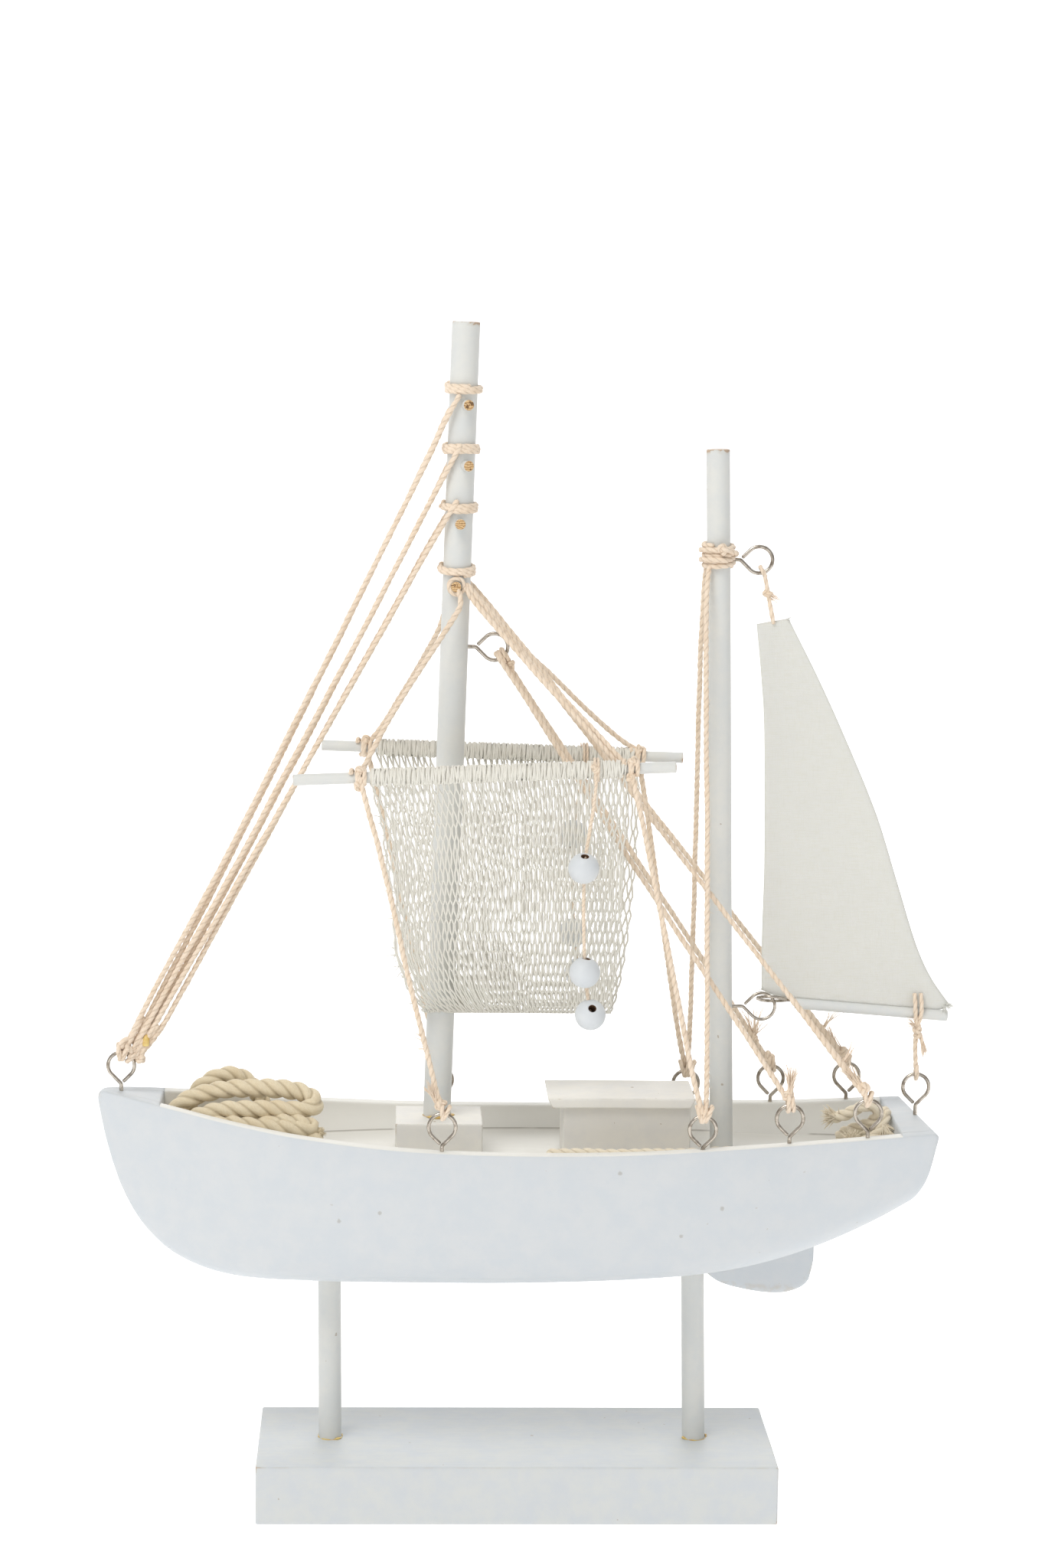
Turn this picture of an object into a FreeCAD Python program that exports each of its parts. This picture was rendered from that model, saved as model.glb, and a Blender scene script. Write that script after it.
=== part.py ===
"""Decorative two-masted wooden fishing boat on a block stand, in millimetres.

The origin is the centre of the stand's bottom face. +Z is up, the bow points to -X and port is -Y.
"""
import FreeCAD, Part
import math
import os

V = FreeCAD.Vector

# ---- stand -------------------------------------------------------------------------------------
STAND_LENGTH = 180.0
STAND_WIDTH = 65.0
STAND_HEIGHT = 20.5
STAND_CHAMFER = 0.5
POST_DIAMETER = 8.0
POST_SEAT = 12.0              # depth of a post in the stand
POST_HULL_SEAT = 11.0         # depth of a post in the hull, above the keel
POST_FEET_X = {"stand_post_fore": -64.9, "stand_post_aft": 63.5}
POST_HEADS_X = {"stand_post_fore": -65.7, "stand_post_aft": 61.3}
KEEL_CLEARANCE = 61.5         # stand top to the flat of the keel
GLUE_GAP = 0.05               # radial play of every glued dowel and screw shank

# ---- hull --------------------------------------------------------------------------------------
HULL_LENGTH = 290.0           # stem to the aft end of the loft, before the transom cut
BOW_X = -146.5
HALF_BEAM = 39.5
HULL_DEPTH = 50.0             # keel flat to the lowest sheer
DECK_DEPTH = 8.6              # lowest sheer to the deck of the well
SIDE_FLARE = 0.10             # share by which a side draws in from sheer to keel
BILGE_POWER = 5.0             # higher is a boxier section
RAIL_WIDTH = 5.5
WELL_FORE_X = -123.8
WELL_AFT_X = 130.0
TRANSOM_X = 140.5             # centre of the transom's top edge
TRANSOM_RAKE = 10.0           # degrees off upright
TRANSOM_SKEW = 5.0            # degrees off square, seen from above
# station share of length: half beam share, sheer rise share of depth, keel rise share of depth
OFFSETS = (
    (0.0017, 0.030, 0.268, 1.190),
    (0.0121, 0.100, 0.262, 0.910),
    (0.0293, 0.177, 0.252, 0.600),
    (0.0569, 0.284, 0.230, 0.326),
    (0.0983, 0.425, 0.196, 0.120),
    (0.1600, 0.605, 0.140, 0.004),
    (0.2466, 0.792, 0.074, -0.016),
    (0.3670, 0.942, 0.020, -0.008),
    (0.5050, 1.000, 0.002, 0.000),
    (0.6430, 0.986, 0.010, 0.026),
    (0.7466, 0.934, 0.038, 0.080),
    (0.8330, 0.851, 0.058, 0.200),
    (0.9190, 0.790, 0.088, 0.410),
    (1.0086, 0.719, 0.120, 0.710),
)
SKEG_THICKNESS = 5.0
SKEG_START_X = 65.0
SKEG_END_X = 104.0
SKEG_DROP = 8.4               # lowest point of the fin below the keel flat

# ---- deck fittings -----------------------------------------------------------------------------
STEP_LENGTH = 30.0
STEP_WIDTH = 27.0
STEP_HEIGHT = 13.2
STEP_X = -28.0
CABIN_LENGTH = 44.0
CABIN_WIDTH = 24.0
CABIN_HEIGHT = 19.1
CABIN_X = 36.8
ROOF_LENGTH = 51.3
ROOF_WIDTH = 29.0
ROOF_THICKNESS = 3.5
ROOF_BEVEL = 1.8              # the ends draw in by this much at the underside
ROOF_SHIFT = -2.0             # the roof sits this much forward of the cabin's middle

# ---- masts and yards ---------------------------------------------------------------------------
MAIN_DIAMETER = 9.5
MAIN_TOP_Z = 410.2
MAIN_TOP_X = -21.6
MAIN_DECK_X = -29.0
MIZZEN_DIAMETER = 8.0
MIZZEN_TOP_Z = 368.4
MIZZEN_TOP_X = 64.4
MIZZEN_DECK_X = 70.9
MAST_SEAT = 12.0              # depth of both masts below the deck
PEG_DIAMETER = 3.6
PEG_LENGTH = 16.0
PEG_HEIGHTS = (382.4, 362.0, 342.4, 321.3)
PEG_SKEWS = (13.0, 19.0, 3.0, -2.0)
CORD_DIAMETER = 1.9
LASHING_TURNS = 2
LASHING_LIFT = 5.4            # middle of a lashing above its peg
MIZZEN_LASHING_Z = 332.4
MIZZEN_LASHING_HEIGHT = 10.0
MIZZEN_LASHING_THICKNESS = 2.4
YARD_DIAMETER = 3.8
YARD_ENDS = {
    "yard_port": (V(-78.2, -33.0, 258.4), V(49.6, -33.0, 263.9)),
    "yard_starboard": (V(-70.1, 33.0, 261.6), V(57.4, 33.0, 258.3)),
}
KNOT_X = {"yard_port": (-56.3, 34.6), "yard_starboard": (-55.0, 41.5)}
KNOT_WIDTH = 4.0
KNOT_THICKNESS = 1.9

# ---- net ---------------------------------------------------------------------------------------
NET_LEFT_X = -52.9
NET_RIGHT_X = 32.2
NET_BOTTOM_Z = 173.6
NET_SLANT = ((0.20, 4.5), (0.50, 7.4), (0.72, 8.6), (0.88, 13.6), (1.0, 19.0))   # drop share, inset
NET_THICKNESS = 1.2
NET_CURVE = 2.6               # power of the sling's curve, 2 is a parabola
NET_MAST_PLAY = 0.6           # round the mast where it passes through the net

# ---- screw eyes --------------------------------------------------------------------------------
EYE_WIRE = 1.3
EYE_RING = 10.4               # outside diameter of a ring
EYE_SEAT = 5.0                # depth of a shank in the wood
RAIL_EYES = {                 # station x, inset from the side (None on the centre line), ring rise
    "bow_screw_eye": ((-138.0, None, 9.0),),
    "fore_screw_eyes": ((-27.3, 3.0, 8.4),),
    "shroud_screw_eyes": ((61.0, 2.9, 6.9),),
    "aft_screw_eyes": ((91.0, 3.6, 8.6), (118.0, 2.8, 8.6)),
    "stern_screw_eye": ((138.5, None, 10.0),),
}
MAST_EYE_Z = 300.3
MAST_EYE_RISE = 9.0
HEAD_EYE_Z = 331.0
HEAD_EYE_RISE = 9.9
GOOSENECK_Z = 175.9
GOOSENECK_RISE = 10.2

# ---- mizzen sail and boom ----------------------------------------------------------------------
BOOM_DIAMETER = 3.8
BOOM_FORE = V(95.4, 0, 177.0)
BOOM_AFT = V(148.7, 0, 172.9)
BOOM_EYE_RAISE = 1.0          # the boom's eye enters this much above the middle of its end
BOOM_EYE_PLAY = 0.32          # between the boom's ring and the inside of the gooseneck's ring
BOOM_EYE_HANG = 117.4         # degrees round the gooseneck's ring at which the boom's ring passes
BOOM_EYE_TILT = 20.0          # degrees of the boom's ring off the level
SAIL_THICKNESS = 1.0
SAIL_TACK = V(83.4, 0, 182.2)
SAIL_HEAD_FORE = V(78.9, 0, 309.1)
SAIL_HEAD_AFT = V(89.8, 0, 311.1)
SAIL_CLEW = V(149.6, 0, 177.0)
SAIL_LUFF = (V(82.2, 0, 276.0), V(83.5, 0, 225.0))
SAIL_LEECH = (V(101.2, 0, 289.3), V(122.0, 0, 243.3), V(137.2, 0, 197.7), V(142.6, 0, 186.4))
SAIL_LIFT = 0.05              # foot of the sail above the boom

# ---- floats ------------------------------------------------------------------------------------
FLOAT_DIAMETER = 10.4
FLOAT_BORE = 2.6
FLOAT_STRING = 1.0
FLOAT_STATIONS = ((19.0, 230.0), (19.9, 194.6), (22.0, 180.2))
FLOAT_LOOP_X = 22.8
FLOAT_LOOP_WIDTH = 2.0
FLOAT_LOOP_FIT = 0.15         # inside the loop, so that it turns on the wrapped yard
FLOAT_LOOP_PLAY = 0.3         # round the loop where it passes through the netting

# ---- ropes lying in the well -------------------------------------------------------------------
ROPE_PLAY = 0.05              # above the deck
HANK_PLAN = ((-117, -6), (-100, -14), (-73, -20), (-70, 0), (-73, 20), (-100, 14), (-117, 6))
HANK_HEIGHT = 14.6
HANK_HUMP = (V(-101, 3, 138), V(16, 8, 13.5))
BUNDLE_HUMP = (V(119.6, 0, 130.5), V(9.6, 14.0, 9.0))
# Station x and inset from the well's port wall.
DECK_ROPE_PLAN = ((8, 0.8), (45, 0.25), (75, 0.85), (75, 5.25), (45, 4.85), (8, 5.4))
DECK_ROPE_HEIGHT = 9.2

# ---- worked out --------------------------------------------------------------------------------
KEEL_Z = STAND_HEIGHT + KEEL_CLEARANCE
SHEER_Z = KEEL_Z + HULL_DEPTH
DECK_Z = SHEER_Z - DECK_DEPTH
RING_RADIUS = (EYE_RING - EYE_WIRE) / 2


def offset_at(x):
    """Half beam, sheer height and keel height of the hull at station x, by cubic Hermite spans."""
    share = (x - BOW_X) / HULL_LENGTH
    rows = OFFSETS
    last = len(rows) - 2
    i = max(0, min(last, sum(1 for row in rows[1:] if row[0] < share)))

    def slope(k, column):
        a, b = max(0, k - 1), min(last + 1, k + 1)
        return (rows[b][column] - rows[a][column]) / (rows[b][0] - rows[a][0])

    span = rows[i + 1][0] - rows[i][0]
    t = (share - rows[i][0]) / span
    found = []
    for column in (1, 2, 3):
        p, q = rows[i][column], rows[i + 1][column]
        m, n = slope(i, column) * span, slope(i + 1, column) * span
        found.append((2 * t**3 - 3 * t**2 + 1) * p + (t**3 - 2 * t**2 + t) * m
                     + (3 * t**2 - 2 * t**3) * q + (t**3 - t**2) * n)
    return HALF_BEAM * found[0], SHEER_Z + HULL_DEPTH * found[1], KEEL_Z + HULL_DEPTH * found[2]


def rod(start, end, diameter):
    """Straight round bar between two points."""
    axis = end - start
    return Part.makeCylinder(diameter / 2, axis.Length, start, axis)


def prism(plan, bottom, height):
    """Upright prism on a closed outline of (x, y) corners."""
    corners = [V(x, y, bottom) for x, y in plan]
    return Part.Face(Part.makePolygon(corners + corners[:1])).extrude(V(0, 0, height))


def ellipsoid(centre, radii):
    """Solid ellipsoid with its axes along X, Y and Z."""
    matrix = FreeCAD.Matrix()
    matrix.scale(radii)
    matrix.move(centre)
    return Part.makeSphere(1.0).transformGeometry(matrix)


def tube(points, diameter):
    """Cord solid: straight runs joined by tangent arcs, as large as each pair of runs allows."""
    edges, start, radii = [], points[0], []
    for before, corner, after in zip(points, points[1:], points[2:]):
        run_in, run_out = corner - before, after - corner
        turn = run_in.getAngle(run_out)
        reach = 0.45 * min(run_in.Length, run_out.Length)
        radii.append(reach / math.tan(turn / 2))
        first = corner - run_in.normalize() * reach
        last = corner + run_out.normalize() * reach
        inward = (first + last) * 0.5 - corner
        middle = corner + inward.normalize() * (radii[-1] / math.cos(turn / 2) - radii[-1])
        edges += [Part.LineSegment(start, first).toShape(), Part.Arc(first, middle, last).toShape()]
        start = last
    edges.append(Part.LineSegment(start, points[-1]).toShape())
    path = Part.Wire(edges)
    ring = Part.Wire(Part.Circle(points[0], points[1] - points[0], diameter / 2).toShape())
    solid = path.makePipeShell([ring], True, False)
    true_volume = math.pi * diameter**2 / 4 * path.Length
    print("cord", round(path.Length, 1), "mm, radii", [round(r, 1) for r in radii],
          "volume ratio", round(solid.Volume / true_volume, 4))
    return solid


# ---- stand -------------------------------------------------------------------------------------
def post_axis(name):
    """Foot and head of a stand post, on its centre line."""
    head_keel = offset_at(POST_HEADS_X[name])[2]
    foot = V(POST_FEET_X[name], 0, STAND_HEIGHT - POST_SEAT)
    head = V(POST_HEADS_X[name], 0, head_keel + POST_HULL_SEAT)
    return foot, head


def stand_post(name, play=0.0):
    foot, head = post_axis(name)
    return rod(foot, head, POST_DIAMETER + 2 * play)


def stand_base():
    block = Part.makeBox(STAND_LENGTH, STAND_WIDTH, STAND_HEIGHT,
                         V(-STAND_LENGTH / 2, -STAND_WIDTH / 2, 0))
    block = block.makeChamfer(STAND_CHAMFER, block.Edges)
    for name in POST_FEET_X:
        block = block.cut(stand_post(name, GLUE_GAP))
    return block


# ---- hull --------------------------------------------------------------------------------------
def hull_section(x):
    """Closed outline of the hull at station x: a bilge curve and the line across the sheer."""
    half, sheer, keel = offset_at(x)
    depth = sheer - keel
    steps = 8
    side = []
    for i in range(-steps, steps + 1):
        angle = math.pi / 2 * i / steps
        across = math.copysign(abs(math.sin(angle)) ** (2 / BILGE_POWER), angle)
        below = abs(math.cos(angle)) ** (2 / BILGE_POWER)
        side.append(V(x, half * across * (1 - SIDE_FLARE * below), sheer - depth * below))
    bilge = Part.BSplineCurve()
    bilge.interpolate(side)
    return Part.Wire([bilge.toShape(), Part.LineSegment(side[-1], side[0]).toShape()])


def hull_block():
    """The whole hull before the well is opened, cut to its raked and skewed transom."""
    stations = [BOW_X + HULL_LENGTH * row[0] for row in OFFSETS]
    block = Part.makeLoft([hull_section(x) for x in stations], True, False)
    size = 2 * HULL_LENGTH
    knife = Part.makeBox(size, size, size, V(0, -size / 2, -size / 2))
    knife.rotate(V(), V(0, 1, 0), TRANSOM_RAKE)
    knife.rotate(V(), V(0, 0, 1), TRANSOM_SKEW)
    knife.translate(V(TRANSOM_X, 0, offset_at(TRANSOM_X)[1]))
    return block.cut(knife)


def well_tool():
    """The space of the open well, from the deck up."""
    stations = [WELL_FORE_X + (WELL_AFT_X - WELL_FORE_X) * i / 12 for i in range(13)]
    halves = [offset_at(x)[0] - RAIL_WIDTH for x in stations]
    port = Part.BSplineCurve()
    port.interpolate([V(x, -half, DECK_Z) for x, half in zip(stations, halves)])
    starboard = Part.BSplineCurve()
    starboard.interpolate([V(x, half, DECK_Z) for x, half in zip(stations, halves)])
    ends = [Part.LineSegment(V(stations[i], -halves[i], DECK_Z), V(stations[i], halves[i], DECK_Z))
            for i in (0, -1)]
    outline = Part.Wire([port.toShape(), ends[1].toShape(), starboard.toShape(), ends[0].toShape()])
    return Part.Face(outline).extrude(V(0, 0, 2 * HULL_DEPTH))


def deck_cut():
    """Everything above the deck's level."""
    size = 2 * HULL_LENGTH
    return Part.makeBox(size, size, size, V(-size / 2, -size / 2, DECK_Z))


def hull_body(block):
    body = block.cut(deck_cut())
    for name in POST_FEET_X:
        body = body.cut(stand_post(name, GLUE_GAP))
    return body.cut(mast("main", GLUE_GAP)).cut(mast("mizzen", GLUE_GAP))


def bulwark(block):
    ring = block.common(deck_cut()).cut(well_tool())
    for eye in rail_eye_places():
        ring = ring.cut(eye_hole(eye["base"], eye["up"]))
    return ring


def skeg(block):
    """Fin under the stern, trimmed to the hull and to the aft post."""
    low = KEEL_Z - SKEG_DROP
    length = SKEG_END_X - SKEG_START_X
    lower = Part.BSplineCurve()
    lower.interpolate([V(SKEG_START_X + length * u, 0, low + rise) for u, rise in (
        (0.0, 8.4), (0.13, 4.4), (0.31, 1.9), (0.62, 0.0), (0.82, 0.9), (0.96, 4.8), (1.0, 12.0))])
    roof = KEEL_Z + POST_HULL_SEAT
    end = lower.getPoles()[-1]
    start = lower.getPoles()[0]
    corners = [end, V(end.x - 1.5, 0, roof + 8), V(start.x, 0, roof), start]
    edges = [lower.toShape()]
    edges += [Part.LineSegment(a, b).toShape() for a, b in zip(corners, corners[1:])]
    fin = Part.Face(Part.Wire(edges)).extrude(V(0, SKEG_THICKNESS, 0))
    fin.translate(V(0, -SKEG_THICKNESS / 2, 0))
    return fin.cut(block).cut(stand_post("stand_post_aft", GLUE_GAP))


# ---- masts, deck fittings ----------------------------------------------------------------------
MASTS = {
    "main": (MAIN_DIAMETER, MAIN_TOP_X, MAIN_TOP_Z, MAIN_DECK_X),
    "mizzen": (MIZZEN_DIAMETER, MIZZEN_TOP_X, MIZZEN_TOP_Z, MIZZEN_DECK_X),
}


def mast_x(name, z):
    """Where a mast's raked centre line is at height z."""
    _, top_x, top_z, deck_x = MASTS[name]
    return deck_x + (top_x - deck_x) * (z - DECK_Z) / (top_z - DECK_Z)


def mast_point(name, z):
    return V(mast_x(name, z), 0, z)


def mast(name, play=0.0):
    foot, top = DECK_Z - MAST_SEAT, MASTS[name][2]
    return rod(mast_point(name, foot), mast_point(name, top), MASTS[name][0] + 2 * play)


def mast_collar(name, z, height, thickness):
    """Sleeve of cord turns round a mast, with glue play inside."""
    low, high = mast_point(name, z - height / 2), mast_point(name, z + height / 2)
    return rod(low, high, MASTS[name][0] + 2 * thickness).cut(mast(name, GLUE_GAP))


def peg(index, play=0.0):
    middle = mast_point("main", PEG_HEIGHTS[index])
    skew = math.radians(PEG_SKEWS[index])
    half = V(math.sin(skew), -math.cos(skew), 0) * (PEG_LENGTH / 2)
    return rod(middle - half, middle + half, PEG_DIAMETER + 2 * play)


def main_mast():
    solid = mast("main")
    for index in range(len(PEG_HEIGHTS)):
        solid = solid.cut(peg(index, GLUE_GAP))
    eye = mast_eye_place("main", MAST_EYE_Z, MAST_EYE_RISE)
    return solid.cut(eye_hole(eye["base"], eye["up"]))


def mizzen_mast():
    solid = mast("mizzen")
    for z, rise in ((HEAD_EYE_Z, HEAD_EYE_RISE), (GOOSENECK_Z, GOOSENECK_RISE)):
        eye = mast_eye_place("mizzen", z, rise)
        solid = solid.cut(eye_hole(eye["base"], eye["up"]))
    return solid


def mast_step_block():
    block = Part.makeBox(STEP_LENGTH, STEP_WIDTH, STEP_HEIGHT,
                         V(STEP_X - STEP_LENGTH / 2, -STEP_WIDTH / 2, DECK_Z))
    return block.cut(mast("main", GLUE_GAP))


def cabin_body():
    return Part.makeBox(CABIN_LENGTH, CABIN_WIDTH, CABIN_HEIGHT,
                        V(CABIN_X - CABIN_LENGTH / 2, -CABIN_WIDTH / 2, DECK_Z))


def cabin_roof():
    bottom, top = DECK_Z + CABIN_HEIGHT, DECK_Z + CABIN_HEIGHT + ROOF_THICKNESS
    middle, half = CABIN_X + ROOF_SHIFT, ROOF_LENGTH / 2
    corners = [V(middle - half + ROOF_BEVEL, 0, bottom), V(middle + half - ROOF_BEVEL, 0, bottom),
               V(middle + half, 0, top), V(middle - half, 0, top)]
    slab = Part.Face(Part.makePolygon(corners + corners[:1])).extrude(V(0, ROOF_WIDTH, 0))
    slab.translate(V(0, -ROOF_WIDTH / 2, 0))
    return slab


# ---- screw eyes --------------------------------------------------------------------------------
def eye_hole(base, up):
    """Hole that a screw eye's shank fills, open past the wood's surface."""
    return rod(base - up * EYE_SEAT, base + up * EYE_WIRE, EYE_WIRE + 2 * GLUE_GAP)


def screw_eye(base, up, rise, normal):
    """Ring of bent wire on a shank; the ring's middle stands rise above the wood."""
    ring = Part.makeTorus(RING_RADIUS, EYE_WIRE / 2, base + up * rise, normal)
    neck = rod(base - up * EYE_SEAT, base + up * (rise - RING_RADIUS), EYE_WIRE)
    return ring.fuse(neck).removeSplitter()


def rail_eye_places():
    """Base, direction and ring rise of every eye screwed into the rail, both sides."""
    places = []
    for node, eyes in RAIL_EYES.items():
        for x, inset, rise in eyes:
            half, sheer, _ = offset_at(x)
            sides = (0.0,) if inset is None else (-(half - inset), half - inset)
            places += [{"node": node, "base": V(x, y, sheer), "up": V(0, 0, 1), "rise": rise}
                       for y in sides]
    return places


def mast_eye_place(name, z, rise):
    """Eye screwed level into the aft face of a mast."""
    return {"base": V(mast_x(name, z) + MASTS[name][0] / 2, 0, z), "up": V(1, 0, 0), "rise": rise}


def group(shapes):
    return shapes[0] if len(shapes) == 1 else Part.makeCompound(shapes)


def screw_eyes():
    nodes = {}
    for place in rail_eye_places():
        eye = screw_eye(place["base"], place["up"], place["rise"], V(0, 1, 0))
        nodes.setdefault(place["node"], []).append(eye)
    for node, name, z, rise in (("mast_screw_eye", "main", MAST_EYE_Z, MAST_EYE_RISE),
                                ("head_screw_eye", "mizzen", HEAD_EYE_Z, HEAD_EYE_RISE),
                                ("gooseneck_screw_eye", "mizzen", GOOSENECK_Z, GOOSENECK_RISE)):
        place = mast_eye_place(name, z, rise)
        nodes[node] = [screw_eye(place["base"], place["up"], place["rise"], V(0, 1, 0))]
    return {node: group(eyes) for node, eyes in nodes.items()}


# ---- yards and net -----------------------------------------------------------------------------
def yard(name, play=0.0):
    start, end = YARD_ENDS[name]
    return rod(start, end, YARD_DIAMETER + 2 * play)


def yard_point(name, x):
    start, end = YARD_ENDS[name]
    return start + (end - start) * ((x - start.x) / (end.x - start.x))


def yard_sleeve(name, low_x, high_x, thickness, inside):
    """Sleeve round a yard between two stations, with its bore at radius inside."""
    low, high = yard_point(name, low_x), yard_point(name, high_x)
    sleeve = rod(low, high, 2 * (inside + thickness))
    reach = (high - low).normalize() * EYE_SEAT
    return sleeve.cut(rod(low - reach, high + reach, 2 * inside))


def yard_knots():
    """The four hitches that hang the yards, one group."""
    bore = YARD_DIAMETER / 2 + GLUE_GAP
    return group([yard_sleeve(name, x - KNOT_WIDTH / 2, x + KNOT_WIDTH / 2, KNOT_THICKNESS, bore)
                  for name, stations in KNOT_X.items() for x in stations])


def net_profile(x):
    """Outline of the sling at station x: down from the port yard, under, and up to starboard."""
    port, starboard = yard_point("yard_port", x), yard_point("yard_starboard", x)
    steps = 10
    outer, inner = [], []
    for i in range(-steps, steps + 1):
        share = i / steps
        top = port if share < 0 else starboard
        drop = top.z - NET_BOTTOM_Z
        slope = NET_CURVE * abs(share) ** (NET_CURVE - 1) * drop / abs(top.y)
        normal = V(0, math.copysign(slope, share), -1).normalize() * (NET_THICKNESS / 2)
        point = V(x, abs(top.y) * share, NET_BOTTOM_Z + drop * abs(share) ** NET_CURVE)
        outer.append(point + normal)
        inner.append(point - normal)
    outside, inside = Part.BSplineCurve(), Part.BSplineCurve()
    outside.interpolate(outer)
    inside.interpolate(inner[::-1])
    return Part.Wire([outside.toShape(), Part.LineSegment(outer[-1], inner[-1]).toShape(),
                      inside.toShape(), Part.LineSegment(inner[0], outer[0]).toShape()])


def net_outline():
    """The netting seen from the side: its forward edge slants in towards the bottom."""
    top = yard_point("yard_port", NET_LEFT_X).z
    drop = top - NET_BOTTOM_Z
    slant = [V(NET_LEFT_X, 0, top)]
    slant += [V(NET_LEFT_X + inset, 0, top - drop * share) for share, inset in NET_SLANT]
    edge = Part.BSplineCurve()
    edge.interpolate(slant)
    low, high = NET_BOTTOM_Z - NET_THICKNESS, top + 2 * YARD_DIAMETER
    corners = [slant[-1], V(slant[-1].x, 0, low), V(NET_RIGHT_X, 0, low), V(NET_RIGHT_X, 0, high),
               V(NET_LEFT_X, 0, high), slant[0]]
    edges = [edge.toShape()] + [Part.LineSegment(p, q).toShape() for p, q in zip(corners, corners[1:])]
    reach = 2 * HALF_BEAM
    side = Part.Face(Part.Wire(edges)).extrude(V(0, 2 * reach, 0))
    side.translate(V(0, -reach, 0))
    return side


def net():
    """Sling of netting between the yards, wrapped round both, with the mast passing through."""
    sling = Part.makeLoft([net_profile(NET_LEFT_X), net_profile(NET_RIGHT_X)], True, True)
    sling = sling.common(net_outline())
    bore = YARD_DIAMETER / 2 + GLUE_GAP
    half = FLOAT_LOOP_WIDTH / 2 + FLOAT_LOOP_PLAY
    room = 2 * (float_loop_radius() + FLOAT_STRING + FLOAT_LOOP_PLAY)
    for name in YARD_ENDS:
        start, end = YARD_ENDS[name]
        low, high = yard_point(name, FLOAT_LOOP_X - half), yard_point(name, FLOAT_LOOP_X + half)
        sling = sling.cut(rod(start, end, 2 * bore + NET_THICKNESS)).cut(rod(low, high, room))
        sling = sling.fuse(yard_sleeve(name, NET_LEFT_X, NET_RIGHT_X, NET_THICKNESS, bore))
    hole = rod(mast_point("main", NET_BOTTOM_Z - MAST_SEAT), mast_point("main", NET_BOTTOM_Z + MAST_SEAT),
               MAIN_DIAMETER + 2 * NET_MAST_PLAY)
    return sling.cut(hole)


# ---- boom and sail -----------------------------------------------------------------------------
def boom_eye_centre():
    """Middle of the boom's ring, which passes the gooseneck's ring just inside its wire."""
    gooseneck = mast_eye_place("mizzen", GOOSENECK_Z, GOOSENECK_RISE)
    hang = math.radians(BOOM_EYE_HANG)
    inside = RING_RADIUS - EYE_WIRE - BOOM_EYE_PLAY
    passing = V(inside * math.cos(hang), 0, inside * math.sin(hang))
    return gooseneck["base"] + gooseneck["up"] * gooseneck["rise"] + passing + V(RING_RADIUS, 0, 0)


def boom_eye_place():
    """Where the boom's eye enters the boom, its direction and the rise of its ring."""
    base = BOOM_FORE + V(0, 0, BOOM_EYE_RAISE)
    reach = boom_eye_centre() - base
    return {"base": base, "up": V(reach).normalize(), "rise": reach.Length}


def boom():
    eye = boom_eye_place()
    return rod(BOOM_FORE, BOOM_AFT, BOOM_DIAMETER).cut(eye_hole(eye["base"], eye["up"]))


def boom_screw_eye():
    eye = boom_eye_place()
    tilt = math.radians(BOOM_EYE_TILT)
    return screw_eye(eye["base"], eye["up"], eye["rise"], V(0, math.sin(tilt), math.cos(tilt)))


def boom_top(x):
    """Height just above the boom, where the sail's foot lies."""
    share = (x - BOOM_FORE.x) / (BOOM_AFT.x - BOOM_FORE.x)
    slope = (BOOM_AFT.z - BOOM_FORE.z) / (BOOM_AFT.x - BOOM_FORE.x)
    middle = BOOM_FORE.z + (BOOM_AFT.z - BOOM_FORE.z) * share
    return middle + BOOM_DIAMETER / 2 * math.sqrt(1 + slope**2) + SAIL_LIFT


def mizzen_sail():
    luff, leech = Part.BSplineCurve(), Part.BSplineCurve()
    luff.interpolate([SAIL_HEAD_FORE, *SAIL_LUFF, SAIL_TACK])
    clew = V(SAIL_CLEW.x, 0, max(SAIL_CLEW.z, boom_top(SAIL_CLEW.x)))
    leech.interpolate([clew, *SAIL_LEECH[::-1], SAIL_HEAD_AFT])
    foot = [SAIL_TACK, V(BOOM_FORE.x, 0, boom_top(BOOM_FORE.x)), V(BOOM_AFT.x, 0, boom_top(BOOM_AFT.x)),
            clew]
    edges = [luff.toShape()] + [Part.LineSegment(a, b).toShape() for a, b in zip(foot, foot[1:])]
    edges += [leech.toShape(), Part.LineSegment(SAIL_HEAD_AFT, SAIL_HEAD_FORE).toShape()]
    sheet = Part.Face(Part.Wire(edges)).extrude(V(0, SAIL_THICKNESS, 0))
    sheet.translate(V(0, -SAIL_THICKNESS / 2, 0))
    return sheet


# ---- floats ------------------------------------------------------------------------------------
def float_points(yard_name):
    """Middles of the three floats under one yard."""
    side = YARD_ENDS[yard_name][0].y
    y = side + math.copysign(float_loop_radius() + FLOAT_STRING / 2, side)
    return [V(x, y, z) for x, z in FLOAT_STATIONS]


def float_loop_radius():
    return YARD_DIAMETER / 2 + GLUE_GAP + NET_THICKNESS + FLOAT_LOOP_FIT


def float_string(yard_name):
    """String from its loop on the yard down to the lowest float, with its middle on one line."""
    floats = float_points(yard_name)
    pivot = yard_point(yard_name, FLOAT_LOOP_X)
    half = FLOAT_LOOP_WIDTH / 2
    loop = yard_sleeve(yard_name, FLOAT_LOOP_X - half, FLOAT_LOOP_X + half, FLOAT_STRING,
                       float_loop_radius())
    start = V(FLOAT_LOOP_X, floats[0].y, pivot.z - FLOAT_STRING)
    line = [start, *floats]
    parts = [rod(a, b, FLOAT_STRING) for a, b in zip(line, line[1:])]
    beads = [Part.makeSphere(FLOAT_STRING / 2, point) for point in line[:-1]]
    return loop.multiFuse(parts + beads).removeSplitter()


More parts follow.
